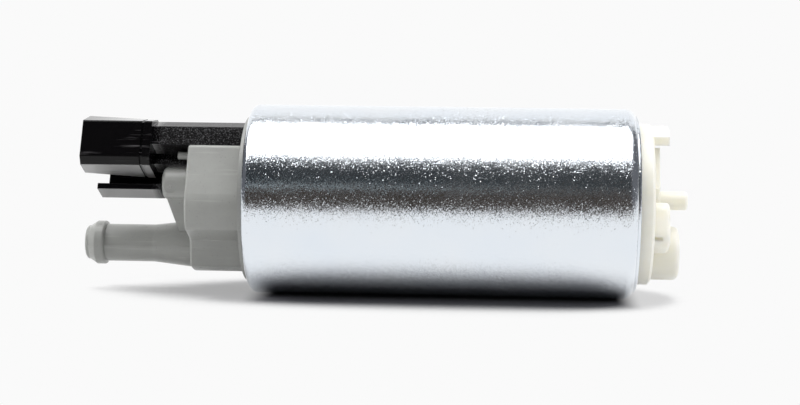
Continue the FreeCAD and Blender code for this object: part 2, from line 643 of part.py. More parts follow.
def inlet_cap():
    """Moulded inlet end: flange with the suction chamber, outside disc, nipple, pin and blocks."""
    body = new_body("inlet_cap")
    outline(sketch := upright(body), (
        ("0", DISC_FACE),
        (f"{CAP_DISC} - cap_edge", DISC_FACE),
        (CAP_DISC, f"{DISC_FACE} + cap_edge"),
        (CAP_DISC, CAP_SEAT),
        (BORE_FIT, CAP_SEAT),
        (BORE_FIT, PLATE_LOW),
        (CHAMBER, PLATE_LOW),
        (CHAMBER, f"{DISC_FACE} + cap_floor"),
        ("bearing_post_radius", f"{DISC_FACE} + cap_floor"),
        ("bearing_post_radius", PLATE_LOW),
        ("0", PLATE_LOW)))
    turn(body, sketch)
    # Suction nipple, a rounded tube
    suction_end = f"{CAN_LOW} - suction_out"
    outline(sketch := upright(body, "suction_x", "suction_y"), (
        ("0", suction_end),
        ("suction_radius - suction_round", suction_end),
        ("suction_radius", f"{suction_end} + suction_round", "suction_round", 1),
        ("suction_radius", f"{DISC_FACE} + cap_floor/2"),
        ("0", f"{DISC_FACE} + cap_floor/2")))
    turn(body, sketch)
    # Locating pin with a collar at its foot
    pin_end = f"{CAN_LOW} - pin_out"
    outline(sketch := upright(body, "pin_x", "pin_y"), (
        ("0", pin_end),
        ("pin_radius - pin_round", pin_end),
        ("pin_radius", f"{pin_end} + pin_round", "pin_round", 1),
        ("pin_radius", f"{CAN_LOW} - pin_collar_out"),
        ("pin_collar_radius", f"{CAN_LOW} - pin_collar_out"),
        ("pin_collar_radius", f"{DISC_FACE} + cap_floor/2"),
        ("0", f"{DISC_FACE} + cap_floor/2")))
    turn(body, sketch)
    # Vent block with rounded corners
    left, right = "vent_x - vent_length/2", "vent_x + vent_length/2"
    low, high = "vent_y - vent_width/2", "vent_y + vent_width/2"
    base = f"{DISC_FACE} + cap_floor/2"
    outline(sketch := level(body, base), (
        (f"{left} + vent_corner", low, "vent_corner", 1),
        (f"{right} - vent_corner", low),
        (right, f"{low} + vent_corner", "vent_corner", 1),
        (right, f"{high} - vent_corner"),
        (f"{right} - vent_corner", high, "vent_corner", 1),
        (f"{left} + vent_corner", high),
        (left, f"{high} - vent_corner", "vent_corner", 1),
        (left, f"{low} + vent_corner")))
    raise_by(body, sketch, f"({base}) - ({CAN_LOW}) + vent_out", down=True)
    soften(body, lambda edge: at_level(edge, f"{CAN_LOW} - vent_out"), "vent_round")
    sketch = level(body, f"{CAN_LOW} - vent_out + vent_slot_below")
    rectangle(sketch, "vent_slot_x", "vent_slot_x + vent_slot_width",
              f"{low} - vent_slot_depth", f"{low} + vent_slot_depth")
    sink_by(body, sketch, "vent_slot_height", up=True)
    # Curved tab along the disc's edge, and the raised step beside it
    outer = f"({CAP_DISC} - tab_inset)"
    inner = f"({CAP_DISC} - tab_inset - tab_wall)"
    corners = [(f"{radius} * cos({angle} * 1deg)", f"{radius} * sin({angle} * 1deg)")
               for radius, angle in ((inner, "tab_low_angle"), (outer, "tab_low_angle"),
                                     (outer, "tab_high_angle"), (inner, "tab_high_angle"))]
    outline(sketch := level(body, base), (
        (*corners[0], inner, -1), corners[1], (*corners[2], outer, 1), corners[3]))
    raise_by(body, sketch, f"({base}) - ({CAN_LOW}) + tab_out", down=True)
    sketch = rectangle(level(body, base), "step_low", "step_high",
                       "step_y - step_width/2", "step_y + step_width/2")
    raise_by(body, sketch, f"({base}) - ({CAN_LOW}) + step_out", down=True)
    # Bore of the nipple into the chamber, and the bush's seat
    sketch = circle(level(body, f"{DISC_FACE} + cap_floor"), "suction_bore", "suction_x", "suction_y")
    sink_by(body, sketch, "suction_out - cap_disc_out + cap_floor")
    shaft_hole(body, "bush_radius + fit_gap/2", f"{PLATE_LOW} - bush_length - button_height", PLATE_LOW)
    seal_groove(body, INLET_SEAL)
    return body


def seal_groove(body, z):
    """Groove for a sealing ring, cut into a piece that fits the can's bore."""
    floor = f"{CAN_BORE} - seal_wire + seal_squeeze"
    sketch = rectangle(upright(body), floor, "can_radius", f"{z} - seal_wire*0.6", f"{z} + seal_wire*0.6")
    turn(body, sketch, adds=False)


def seals():
    """Square-cut rubber rings that close the can against the inlet cap and the outlet cover."""
    for label, z in (("inlet_seal", INLET_SEAL), ("outlet_seal", OUTLET_SEAL)):
        body = new_body(label)
        turn(body, rectangle(upright(body), f"{CAN_BORE} - seal_wire + seal_squeeze", CAN_BORE,
                             f"{z} - seal_wire/2", f"{z} + seal_wire/2"))


def inlet_bearing():
    """Sintered bush and thrust button under the lower end of the shaft."""
    ring_piece("inlet_bush", "bush_radius", "shaft_radius + run_gap",
               f"{PLATE_LOW} - bush_length", PLATE_LOW)
    body = new_body("thrust_button")
    outline(sketch := upright(body), (
        ("0", f"{PLATE_LOW} - bush_length - button_height"),
        ("button_radius", f"{PLATE_LOW} - bush_length - button_height"),
        ("button_radius", f"{PLATE_LOW} - bush_length"),
        ("0", f"{PLATE_LOW} - bush_length")))
    turn(body, sketch)


def kidney(sketch, side):
    """Kidney-shaped port on one side of the rotors' middle, seen along the can."""
    half = "port_span/2"
    points = []
    for radius in ("port_inner", "port_outer"):
        points.append((f"{radius}*sin({half} * 1deg)", f"{side} * {radius}*cos({half} * 1deg)"))
    (inner_x, inner_y), (outer_x, outer_y) = points
    return outline(sketch, (
        (f"-({inner_x})", inner_y, "port_inner", side),
        (f"-({outer_x})", outer_y),
        (outer_x, outer_y, "port_outer", -side),
        (inner_x, inner_y)))


def wear_plate():
    """Steel plate that closes the pumping chamber on the suction side."""
    body = ring_piece("wear_plate", BORE_FIT, "shaft_radius + run_gap", PLATE_LOW, ROTOR_LOW)
    sink_by(body, kidney(level(body, ROTOR_LOW), 1), "wear_plate_height")
    return body


def eccentric_ring():
    """Ring that carries the outer rotor off the can's axis."""
    body = new_body("eccentric_ring")
    sketch = circle(level(body, ROTOR_LOW), BORE_FIT)
    circle(sketch, "outer_rotor_radius + run_gap", "eccentricity")
    raise_by(body, sketch, "rotor_height")
    return body


def port_plate():
    """Plate above the rotors, with the delivery port and a well for the coupling."""
    body = ring_piece("port_plate", BORE_FIT, "coupling_radius + 5*fit_gap", ROTOR_HIGH, PORT_HIGH)
    sink_by(body, kidney(level(body, PORT_HIGH), -1), "port_plate_height")
    return body


def outer_rotor():
    """Ring with round lobes inside, one more than the inner rotor has teeth."""
    body = new_body("outer_rotor")
    low = f"{ROTOR_LOW} + face_gap"
    height = "rotor_height - 2*face_gap"
    sketch = circle(level(body, low), "outer_rotor_radius")
    circle(sketch, f"{LOBE_CIRCLE} + 2*eccentricity - lobe_radius - mesh_gap + root_gap")
    raise_by(body, sketch, height)
    lobe = raise_by(body, circle(level(body, low), "lobe_radius", LOBE_CIRCLE), height)
    repeat_round(body, lobe, "rotor_teeth + 1", True)
    body.Placement = FreeCAD.Placement(vector("eccentricity", "0"), FreeCAD.Rotation())
    return body


def inner_rotor():
    """Toothed rotor that the lobes of the outer rotor would cut: seen from it, a lobe's centre runs
    on a circle with small loops added, and the flank lies one lobe radius inside that curve."""
    teeth = int(number("rotor_teeth"))
    base = number(LOBE_CIRCLE)
    shift = number("eccentricity")
    inside = number("lobe_radius + mesh_gap")
    points_per_tooth = 10
    low = number(f"{ROTOR_LOW} + face_gap")
    height = number("rotor_height - 2*face_gap")
    flank = []
    for index in range(teeth * points_per_tooth):
        angle = 2 * math.pi * index / (teeth * points_per_tooth)
        wave = (teeth + 1) * angle
        along_x = -base * math.sin(angle) - (teeth + 1) * shift * math.sin(wave)
        along_y = base * math.cos(angle) + (teeth + 1) * shift * math.cos(wave)
        length = math.hypot(along_x, along_y)
        flank.append(FreeCAD.Vector(
            base * math.cos(angle) + shift * math.cos(wave) - along_y / length * inside,
            base * math.sin(angle) + shift * math.sin(wave) + along_x / length * inside, low))
    curve = Part.BSplineCurve()
    curve.interpolate(flank, PeriodicFlag=True)
    up = FreeCAD.Vector(0, 0, 1)
    blank = Part.Face(Part.Wire([curve.toShape()])).extrude(up * height)
    bore = Part.makeCylinder(number("shaft_radius + fit_gap"), height, FreeCAD.Vector(0, 0, low), up)
    slot_width = number("tang_width + 2*brush_gap")
    slot_length = 2 * number("coupling_radius + 2*fit_gap")
    slot_floor = number(f"{COUPLING_LOW} - tang_depth - fit_gap")
    slot = Part.makeBox(slot_length, slot_width, low + height - slot_floor,
                        FreeCAD.Vector(-slot_length / 2, -slot_width / 2, slot_floor))
    rotor = keep(doc.addObject("Part::Feature", "inner_rotor"), "inner_rotor")
    rotor.Shape = blank.cut(bore).cut(slot)
    return rotor


def drive_coupling():
    """Moulded coupling on the shaft, with two tangs that turn the inner rotor."""
    body = ring_piece("drive_coupling", "coupling_radius", "shaft_radius", COUPLING_LOW, COUPLING_HIGH)
    for side in (1, -1):
        sketch = rectangle(level(body, COUPLING_LOW), f"{side} * tang_inner",
                           f"{side} * (coupling_radius - 2*fit_gap)", "-tang_width/2", "tang_width/2")
        raise_by(body, sketch, "tang_depth", down=True)
    return body


def armature_shaft():
    """Ground steel shaft with chamfered ends."""
    body = new_body("armature_shaft")
    outline(sketch := upright(body), (
        ("0", SHAFT_LOW),
        ("shaft_radius - shaft_edge", SHAFT_LOW),
        ("shaft_radius", f"{SHAFT_LOW} + shaft_edge"),
        ("shaft_radius", f"{SHAFT_HIGH} - shaft_edge"),
        ("shaft_radius - shaft_edge", SHAFT_HIGH),
        ("0", SHAFT_HIGH)))
    turn(body, sketch)
    return body


def slot_outline(sketch, inset, bottom, top):
    """One winding slot: it widens outwards. inset draws the outline in from the iron."""
    outline(sketch, (
        (bottom, f"-slot_width_low/2 + {inset}"),
        (top, f"-slot_width_high/2 + {inset}"),
        (top, f"slot_width_high/2 - {inset}"),
        (bottom, f"slot_width_low/2 - {inset}")))
    return sketch


def lamination_stack():
    """Iron core with winding slots that open to the gap through narrow mouths."""
    body = ring_piece("lamination_stack", "core_radius", "shaft_radius", CORE_LOW, CORE_HIGH)
    sketch = slot_outline(level(body, CORE_HIGH), "0", "slot_floor", "slot_top")
    slot = sink_by(body, sketch, CORE_LENGTH)
    repeat_round(body, slot, "slot_count", False)
    sketch = rectangle(level(body, CORE_HIGH), "slot_top - coil_gap", "core_radius + coil_gap",
                       "-slot_mouth/2", "slot_mouth/2")
    mouth = sink_by(body, sketch, CORE_LENGTH)
    repeat_round(body, mouth, "slot_count", False)
    return body


def end_turns(body, flat, side):
    """A rounded bundle of wire that stands on the level flat, upwards for side 1, downwards for -1."""
    top = f"{flat} + {side} * (coil_end_height - coil_gap)"
    outline(sketch := upright(body), (
        ("coil_inner", flat),
        ("coil_inner", top),
        ("coil_outer - coil_round", top),
        ("coil_outer", f"{top} - {side} * coil_round", "coil_round", -side),
        ("coil_outer", flat)))
    turn(body, sketch)


def armature_windings():
    """Copper in the slots, joined by a bundle of end turns above and below the core."""
    body = new_body("armature_windings")
    low = f"{CORE_LOW} - coil_gap"
    high = f"{CORE_HIGH} + coil_gap"
    end_turns(body, low, -1)
    sketch = slot_outline(level(body, low), "coil_gap", "slot_floor + coil_gap", "slot_top - coil_gap")
    bar = raise_by(body, sketch, f"({high}) - ({low})")
    repeat_round(body, bar, "slot_count", True)
    end_turns(body, high, 1)
    return body


def commutator():
    """Flat commutator: a moulded base with copper segments that the brushes run on."""
    body = new_body("commutator_base")
    outline(sketch := upright(body), (
        ("shaft_radius", COMMUTATOR_LOW),
        ("commutator_radius", COMMUTATOR_LOW),
        ("commutator_radius", f"{BRUSH_FACE} - segment_height"),
        ("hub_radius", f"{BRUSH_FACE} - segment_height"),
        ("hub_radius", f"{BRUSH_FACE} + hub_rise"),
        ("shaft_radius", f"{BRUSH_FACE} + hub_rise")))
    turn(body, sketch)
    low = number(f"{BRUSH_FACE} - segment_height")
    height = number("segment_height")
    up = FreeCAD.Vector(0, 0, 1)
    seat = FreeCAD.Vector(0, 0, low)
    outer = number("commutator_radius")
    disc = Part.makeCylinder(outer, height, seat, up)
    disc = disc.cut(Part.makeCylinder(number("segment_inner"), height, seat, up))
    gap = number("segment_gap")
    bars = int(number("slot_count"))
    saw = Part.makeBox(outer * 2, gap, height, FreeCAD.Vector(0, -gap / 2, low))
    for index in range(bars):
        cut = saw.copy()
        cut.rotate(FreeCAD.Vector(), up, 360 * index / bars)
        disc = disc.cut(cut)
    segments = keep(doc.addObject("Part::Feature", "commutator_segments"), "commutator_segments")
    segments.Shape = disc


def thrust_washer():
    """Washer between the commutator's hub and the outlet bush."""
    return ring_piece("thrust_washer", "washer_radius", "shaft_radius + run_gap",
                      WASHER_LOW, f"{WASHER_LOW} + washer_height")


def magnets():
    """Two ferrite shells against the can's wall, on the sides that the clips leave free."""
    for label, side in (("magnet_front", -1), ("magnet_back", 1)):
        body = new_body(label)
        half = "magnet_span/2"
        corner = [(f"{radius} * sin({half} * 1deg)", f"{side} * {radius} * cos({half} * 1deg)")
                  for radius in ("magnet_inner", f"({BORE_FIT})")]
        sketch = outline(level(body, PORT_HIGH), (
            (f"-({corner[0][0]})", corner[0][1], "magnet_inner", side),
            (f"-({corner[1][0]})", corner[1][1]),
            (corner[1][0], corner[1][1], BORE_FIT, -side),
            (corner[0][0], corner[0][1])))
        raise_by(body, sketch, MAGNET_LENGTH)


def magnet_clips():
    """Two bent spring clips that push the magnets apart against the can."""
    for label, side in (("magnet_clip_upper", 1), ("magnet_clip_lower", -1)):
        body = new_body(label)
        wall = "clip_wall"
        back = f"{side} * ({BORE_FIT} - clip_wall - fit_gap)"
        face = f"{side} * ({BORE_FIT} - 2*clip_wall - fit_gap)"
        toe = f"{side} * ({BORE_FIT} - 2*clip_wall - clip_leg)"
        sketch = outline(level(body, PORT_HIGH), (
            (toe, "-clip_width/2"),
            (back, "-clip_width/2"),
            (back, "clip_width/2"),
            (toe, "clip_width/2"),
            (toe, f"clip_width/2 - {wall}"),
            (face, f"clip_width/2 - {wall}"),
            (face, f"-clip_width/2 + {wall}"),
            (toe, f"-clip_width/2 + {wall}")))
        raise_by(body, sketch, MAGNET_LENGTH)


def tower(sketch, inset):
    """Outline of the outlet cover's housing, drawn in by inset for its inside."""
    flat = f"{TOWER_FLAT} - {inset}"
    side = f"tower_side - {inset}"
    round_out = f"{TOWER_ROUND} - {inset}"
    shelf = f"tower_shelf_x + {inset}"
    foot_y = f"tower_foot_y + {inset}"
    notch_y = f"tower_notch_y + {inset}"
    foot_x = f"-sqrt(({round_out})^2 - ({foot_y})^2)"
    side_y = f"sqrt(({round_out})^2 - ({side})^2)"
    bend = f"tower_bend_end + {inset}"
    return outline(sketch, (
        (side, f"-({flat})"),
        (side, side_y),
        (f"-({round_out})*0.6", f"({round_out})*0.8", round_out, 1),
        (foot_x, foot_y, round_out, 1),
        (shelf, notch_y),
        (shelf, bend),
        ("tower_flat_end", f"-({flat})", f"tower_bend_radius - {inset}", 1)))


def brush_places():
    """Direction of each brush, with the word that its pieces' names end in."""
    return (("positive", "brush_angle"), ("negative", "brush_angle + 180"))


def brush_box(sketch, direction, gap):
    """A brush's cross-section at its place round the axis, made larger by gap all round."""
    across = f"(brush_width/2 + {gap})"
    corners = []
    for radius, side in ((f"(brush_circle - brush_depth/2 - {gap})", -1),
                         (f"(brush_circle + brush_depth/2 + {gap})", -1),
                         (f"(brush_circle + brush_depth/2 + {gap})", 1),
                         (f"(brush_circle - brush_depth/2 - {gap})", 1)):
        turned = f"({direction}) * 1deg"
        corners.append((f"{radius}*cos({turned}) - {side}*{across}*sin({turned})",
                        f"{radius}*sin({turned}) + {side}*{across}*cos({turned})"))
    return outline(sketch, corners)


def gusset(body):
    """Side view of the web between the boss and the nipple, on an upright plane through both."""
    across = f"({NIPPLE_X} - boss_x)"
    away = f"({NIPPLE_Y} - ({BOSS_Y}))"
    heading = f"atan2({away}; {across})"
    sketch = sketch_on(body, "XZ_Plane", x=f"boss_x - gusset_width/2 * sin({heading})",
                       z=f"-({BOSS_Y} + gusset_width/2 * cos({heading}))")
    sketch.AttachmentOffset.Rotation = FreeCAD.Rotation(FreeCAD.Vector(0, 1, 0), 1)
    set_size(sketch, "AttachmentOffset.Rotation.Angle", heading)
    doc.recompute()
    reach = f"sqrt({across}^2 + {away}^2)"
    return outline(sketch, (
        ("0", f"{TOWER_TOP} - tower_wall/2"),
        (reach, f"{TOWER_TOP} - tower_wall/2"),
        (reach, f"{BOSS_TOP} - gusset_drop - gusset_fall"),
        ("boss_radius", f"{BOSS_TOP} - gusset_drop"),
        ("0", f"{BOSS_TOP} - gusset_drop")))


def outlet_cover():
    """Moulded outlet end: flange, housing, hose nipple, relief valve boss, bush hub, brush guides."""
    body = new_body("outlet_cover")
    outline(sketch := upright(body), (
        ("0", FLANGE_LOW),
        (f"{BORE_FIT} - skirt_wall", FLANGE_LOW),
        (f"{BORE_FIT} - skirt_wall", MAGNET_HIGH),
        (BORE_FIT, MAGNET_HIGH),
        (BORE_FIT, FLANGE_HIGH),
        (COVER_RING, FLANGE_HIGH),
        (COVER_RING, RING_HIGH),
        ("0", RING_HIGH)))
    turn(body, sketch)
    raise_by(body, tower(level(body, RING_HIGH), "0"), f"{TOWER_TOP} - ({RING_HIGH})")
    notch = ("tower_shelf_x", "tower_notch_y")
    soften(body, lambda edge: stands_at(edge, "tower_side", f"-({TOWER_FLAT})") or stands_at(edge, *notch),
           "tower_corner")
    soften(body, lambda edge: at_level(edge, TOWER_TOP), "tower_edge")
    sketch = tower(level(body, f"{TOWER_TOP} - tower_wall"), "tower_wall")
    sink_by(body, sketch, f"{TOWER_TOP} - tower_wall - ({RING_HIGH})")
    # Chamber of the outlet valve and the hose nipple on top of it
    sketch = circle(level(body, FLANGE_LOW), "valve_chamber + tower_wall/2", NIPPLE_X, NIPPLE_Y)
    raise_by(body, sketch, f"{TOWER_TOP} - tower_wall/2 - ({FLANGE_LOW})")
    outline(sketch := upright(body, NIPPLE_X, NIPPLE_Y), (
        ("0", f"{TOWER_TOP} - tower_wall/2"),
        ("nipple_root", f"{TOWER_TOP} - tower_wall/2"),
        ("nipple_root", TOWER_TOP),
        ("nipple_radius", f"{TOWER_TOP} + nipple_taper"),
        ("nipple_radius", BARB_LOW),
        ("barb_radius - barb_heel", BARB_LOW),
        ("barb_radius", f"{BARB_LOW} + barb_heel", "barb_heel", 1),
        ("barb_radius", f"{BARB_LOW} + barb_flat"),
        ("nose_radius", f"{NIPPLE_TIP} - nose_round"),
        ("nose_radius - nose_round/2", NIPPLE_TIP, "nose_round", 1),
        ("0", NIPPLE_TIP)))
    turn(body, sketch)
    # Boss of the relief valve, its gusset and the small peg
    sketch = circle(level(body, FLANGE_LOW), "boss_radius", "boss_x", BOSS_Y)
    raise_by(body, sketch, f"{BOSS_TOP} - ({FLANGE_LOW})")
    soften(body, lambda edge: at_level(edge, BOSS_TOP), "boss_round")
    raise_by(body, gusset(body), "gusset_width")
    # The valve chamber and the nipple's bore, and the relief valve's bore in the boss
    outline(sketch := upright(body, NIPPLE_X, NIPPLE_Y), (
        ("0", FLANGE_LOW),
        ("valve_seat_bore", FLANGE_LOW),
        ("valve_seat_bore", SEAT_LOW),
        ("valve_chamber", SEAT_LOW),
        ("valve_chamber", GUIDE_HIGH),
        ("nipple_bore", f"{GUIDE_HIGH} + valve_chamber - nipple_bore"),
        ("nipple_bore", NIPPLE_TIP),
        ("0", NIPPLE_TIP)))
    turn(body, sketch, adds=False)
    outline(sketch := upright(body, "boss_x", BOSS_Y), (
        ("0", FLANGE_LOW),
        ("relief_inlet", FLANGE_LOW),
        ("relief_inlet", RELIEF_FLOOR),
        ("relief_bore", f"{RELIEF_FLOOR} + relief_bore - relief_inlet"),
        ("relief_bore", BOSS_TOP),
        ("0", BOSS_TOP)))
    turn(body, sketch, adds=False)
    sketch = circle(level(body, f"{TOWER_TOP} - tower_wall/2"), "peg_radius", "peg_x", PEG_Y)
    raise_by(body, sketch, "peg_height + tower_wall/2")
    # Hub for the outlet bush, and the brush guides below the flange
    sketch = circle(level(body, FLANGE_LOW), "bearing_hub_radius")
    raise_by(body, sketch, f"{FLANGE_LOW} - ({BUSH_LOW})", down=True)
    shaft_hole(body, "bush_radius + fit_gap/2", BUSH_LOW, BUSH_HIGH)
    for name, direction in brush_places():
        sketch = brush_box(level(body, FLANGE_LOW), direction, "(brush_gap + brush_wall)")
        raise_by(body, sketch, f"{FLANGE_LOW} - ({BRUSH_FACE}) - guide_clear", down=True)
    for name, direction in brush_places():
        sketch = brush_box(level(body, f"{BRUSH_FACE} + guide_clear"), direction, "brush_gap")
        sink_by(body, sketch, f"{BRUSH_ROOM} - ({BRUSH_FACE}) - guide_clear", up=True)
    # Slots for the terminals' tongues in the connector side of the housing
    for side in (-1, 1):
        middle = f"blade_middle + {side}*blade_pitch/2"
        sketch = rectangle(beside(body, f"{TONGUE} + blade_thickness/2 + fit_gap"),
                           "tower_side - tower_wall - fit_gap", "tower_side + fit_gap",
                           f"{middle} - blade_width/2 - fit_gap", f"{middle} + blade_width/2 + fit_gap")
        sink_by(body, sketch, "blade_thickness + 2*fit_gap")
    seal_groove(body, OUTLET_SEAL)
    return body


def outlet_valve():
    """Non-return valve in the outlet: seat, mushroom valve, spring and stem guide."""
    body = new_body("outlet_valve_seat")
    outline(sketch := upright(body, NIPPLE_X, NIPPLE_Y), (
        ("valve_seat_bore", SEAT_LOW),
        ("valve_chamber - fit_gap", SEAT_LOW),
        ("valve_chamber - fit_gap", SEAT_HIGH),
        ("valve_seat_bore", SEAT_HIGH)))
    turn(body, sketch)
    head_low = f"{SEAT_HIGH} + face_gap"
    body = new_body("outlet_valve_poppet")
    outline(sketch := upright(body, NIPPLE_X, NIPPLE_Y), (
        ("0", head_low),
        ("valve_head", head_low),
        ("valve_head", f"{head_low} + valve_head_height/2"),
        ("valve_stem", f"{head_low} + valve_head_height"),
        ("valve_stem", f"{GUIDE_HIGH} - valve_stem_short"),
        ("0", f"{GUIDE_HIGH} - valve_stem_short")))
    turn(body, sketch)
    body = new_body("outlet_valve_guide")
    sketch = circle(level(body, GUIDE_LOW), "valve_chamber - fit_gap", NIPPLE_X, NIPPLE_Y)
    circle(sketch, "valve_stem + run_gap", NIPPLE_X, NIPPLE_Y)
    count = int(number("guide_hole_count"))
    for index in range(count):
        angle = f"{360 * index / count} * 1deg"
        circle(sketch, "guide_hole", f"{NIPPLE_X} + guide_hole_circle*cos({angle})",
               f"{NIPPLE_Y} + guide_hole_circle*sin({angle})")
    raise_by(body, sketch, "guide_height")
    coil("outlet_valve_spring", "valve_spring_radius", "valve_spring_wire", "valve_spring_turns",
         f"{head_low} + valve_head_height + fit_gap", f"{GUIDE_LOW} - fit_gap", NIPPLE_X, NIPPLE_Y)


def relief_valve():
    """Pressure relief valve in the boss: ball, spring and the plug that the fuel leaves through."""
    # The ball rests on the cone between the inlet and the bore, a cone of 45 degrees
    rest = f"{RELIEF_FLOOR} - relief_inlet + ball_radius*sqrt(2) + face_gap"
    ball = doc.addObject("Part::Sphere", "relief_ball")
    keep(ball, "relief_ball")
    set_size(ball, "Radius", "ball_radius")
    doc.recompute()
    ball.Placement = FreeCAD.Placement(vector("boss_x", BOSS_Y, rest), FreeCAD.Rotation())
    body = new_body("relief_plug")
    sketch = circle(level(body, f"{BOSS_TOP} - plug_height"), "relief_bore - fit_gap/2", "boss_x", BOSS_Y)
    circle(sketch, "plug_hole", "boss_x", BOSS_Y)
    raise_by(body, sketch, "plug_height")
    coil("relief_spring", "relief_spring_radius", "relief_spring_wire", "relief_spring_turns",
         f"{rest} + ball_radius - relief_spring_wire/2 + fit_gap", f"{BOSS_TOP} - plug_height - fit_gap",
         "boss_x", BOSS_Y)


def outlet_bearing():
    """Sintered bush in the outlet cover's hub."""
    ring_piece("outlet_bush", "bush_radius", "shaft_radius + run_gap",
               BUSH_LOW, BUSH_HIGH)


def brushes():
    """Carbon brushes that stand on the commutator, each with its spring."""
    for name, direction in brush_places():
        body = new_body(f"brush_{name}")
        raise_by(body, brush_box(level(body, BRUSH_LOW), direction, "0"), "brush_height")
        turned = f"({direction}) * 1deg"
        coil(f"brush_spring_{name}", "brush_spring_radius", "brush_spring_wire", "brush_spring_turns",
             f"{BRUSH_HIGH} + fit_gap", f"{BRUSH_ROOM} - fit_gap",
             f"brush_circle*cos({turned})", f"brush_circle*sin({turned})")


def chokes():
    """Interference chokes in the housing: a ferrite rod in a copper winding, one for each pole."""
    for name, x, y in (("negative", "choke_x", "choke_y"), ("positive", "choke_near_x", CHOKE_NEAR_Y)):
        low = f"{RING_HIGH} + fit_gap"
        body = new_body(f"choke_core_{name}")
        raise_by(body, circle(level(body, low), "choke_core", x, y), "choke_length")
        body = new_body(f"choke_winding_{name}")
        sketch = circle(level(body, f"{low} + choke_length/2 - choke_winding/2"), "choke_outer", x, y)
        circle(sketch, "choke_core", x, y)
        raise_by(body, sketch, "choke_winding")


def connector_outline(sketch, inset, end):
    """Outline of the socket at its low or its high end, drawn in by inset for its inside."""
    front = f"-(socket_front - {inset})"
    under = f"socket_under + {inset}"
    back = f"-(socket_back + {inset})"
    ridge = f"socket_ridge_{end}"
    crest = f"{ridge} - {inset}"
    keel = f"socket_keel_{end}"
    slope = f"socket_slope - {inset}/2"
    return outline(sketch, (
        (under, f"{front} + socket_corner"),
        (under, f"-{keel}"),
        (f"{under} + socket_rise", f"-{keel} + socket_rise_run"),
        (f"{under} + socket_rise", back),
        (f"socket_shoulder - {inset}/2", back),
        (crest, f"{back} - ({ridge} - socket_shoulder)"),
        (crest, f"{front} + {slope}"),
        (f"socket_shoulder - {inset}/2", front),
        (f"{under} + socket_corner", front)))


def connector_housing():
    """Black electrical connector: foot beside the outlet housing, neck, socket and latch rail."""
    body = new_body("connector_housing")
    low = f"{RING_HIGH} + fit_gap"
    side = "tower_side + fit_gap"
    sketch = outline(beside(body, low), (
        (side, "-slab_front"),
        (side, "slab_back"),
        ("slab_back_edge", "slab_back"),
        ("slab_ridge_x", "slab_back - slab_ridge_x + slab_back_edge"),
        ("slab_ridge_x", "slab_ridge_y"),
        ("slab_shoulder_x", "slab_shoulder_y")))
    raise_by(body, sketch, f"{SOCKET_LOW} - ({low})")
    # Neck beside the relief valve, with a ledge along its lower edge
    neck_low = f"{TOWER_TOP} + fit_gap"
    sketch = rectangle(beside(body, neck_low), "neck_under", "slab_shoulder_x", "-neck_front", "slab_back")
    raise_by(body, sketch, f"{SOCKET_LOW} - ({neck_low})")
    sketch = rectangle(beside(body, neck_low), "neck_under", "neck_under + neck_ledge_height",
                       "-neck_ledge", "-neck_front")
    raise_by(body, sketch, f"{SOCKET_LOW} - ({neck_low})")
    # Socket, whose top ridge rises towards its mouth
    foot = connector_outline(beside(body, SOCKET_LOW), "0", "low")
    mouth = connector_outline(beside(body, SOCKET_TOP), "0", "high")
    run_between(body, foot, mouth, True)
    front = f"-socket_front + {CONNECTOR_SHIFT}"
    edges = (("socket_shoulder", front), ("socket_under + socket_corner", front),
             ("socket_under", f"{front} + socket_corner"))
    soften(body, lambda edge: any(stands_at(edge, *place) for place in edges)
           and edge.CenterOfMass.z > number(SOCKET_LOW), "socket_edge")
    # Groove round the socket's foot
    groove_high = f"{SOCKET_LOW} + groove_above + groove_width"
    sketch = connector_outline(beside(body, groove_high), "-groove_depth", "low")
    connector_outline(sketch, "groove_depth", "low")
    sink_by(body, sketch, "groove_width")
    # Web below the socket, and the latch rail along its lower edge
    rail_low = f"{BOSS_TOP} + rail_clear"
    rail_length = f"{SOCKET_TOP} - rail_short - ({rail_low})"
    web_high = "socket_under + socket_rise + socket_wall/2"
    sketch = outline(beside(body, rail_low), (
        ("rail_under", "-rail_back - rail_web"),
        ("rail_under + rail_web", "-rail_back", "rail_web", 1),
        (web_high, "-rail_back"),
        (web_high, "-rail_back - rail_web")))
    raise_by(body, sketch, f"{rail_length} - rail_step")
    sketch = rectangle(beside(body, rail_low), "rail_under", "rail_under + rail_thickness",
                       "-rail_front", "-rail_back - rail_web")
    raise_by(body, sketch, rail_length)
    # Inside of the socket
    floor = connector_outline(beside(body, SOCKET_FLOOR), "socket_wall", "low")
    mouth = connector_outline(beside(body, SOCKET_TOP), "socket_wall", "high")
    run_between(body, floor, mouth, False)
    # Slots that the blades pass through, with room for their tongues at the foot
    for way in (-1, 1):
        middle = f"blade_middle + {way}*blade_pitch/2"
        front, back = (f"{middle} - blade_width/2 - fit_gap", f"{middle} + blade_width/2 + fit_gap")
        sketch = rectangle(beside(body, SOCKET_FLOOR), "blade_x - blade_thickness/2 - fit_gap",
                           "blade_x + blade_thickness/2 + fit_gap", front, back)
        sink_by(body, sketch, f"{SOCKET_FLOOR} - ({low})")
        sketch = rectangle(beside(body, f"{TONGUE} + blade_thickness/2 + fit_gap"), "tower_side",
                           "blade_x", front, back)
        sink_by(body, sketch, f"{TONGUE} + blade_thickness/2 + fit_gap - ({low})")
    return body


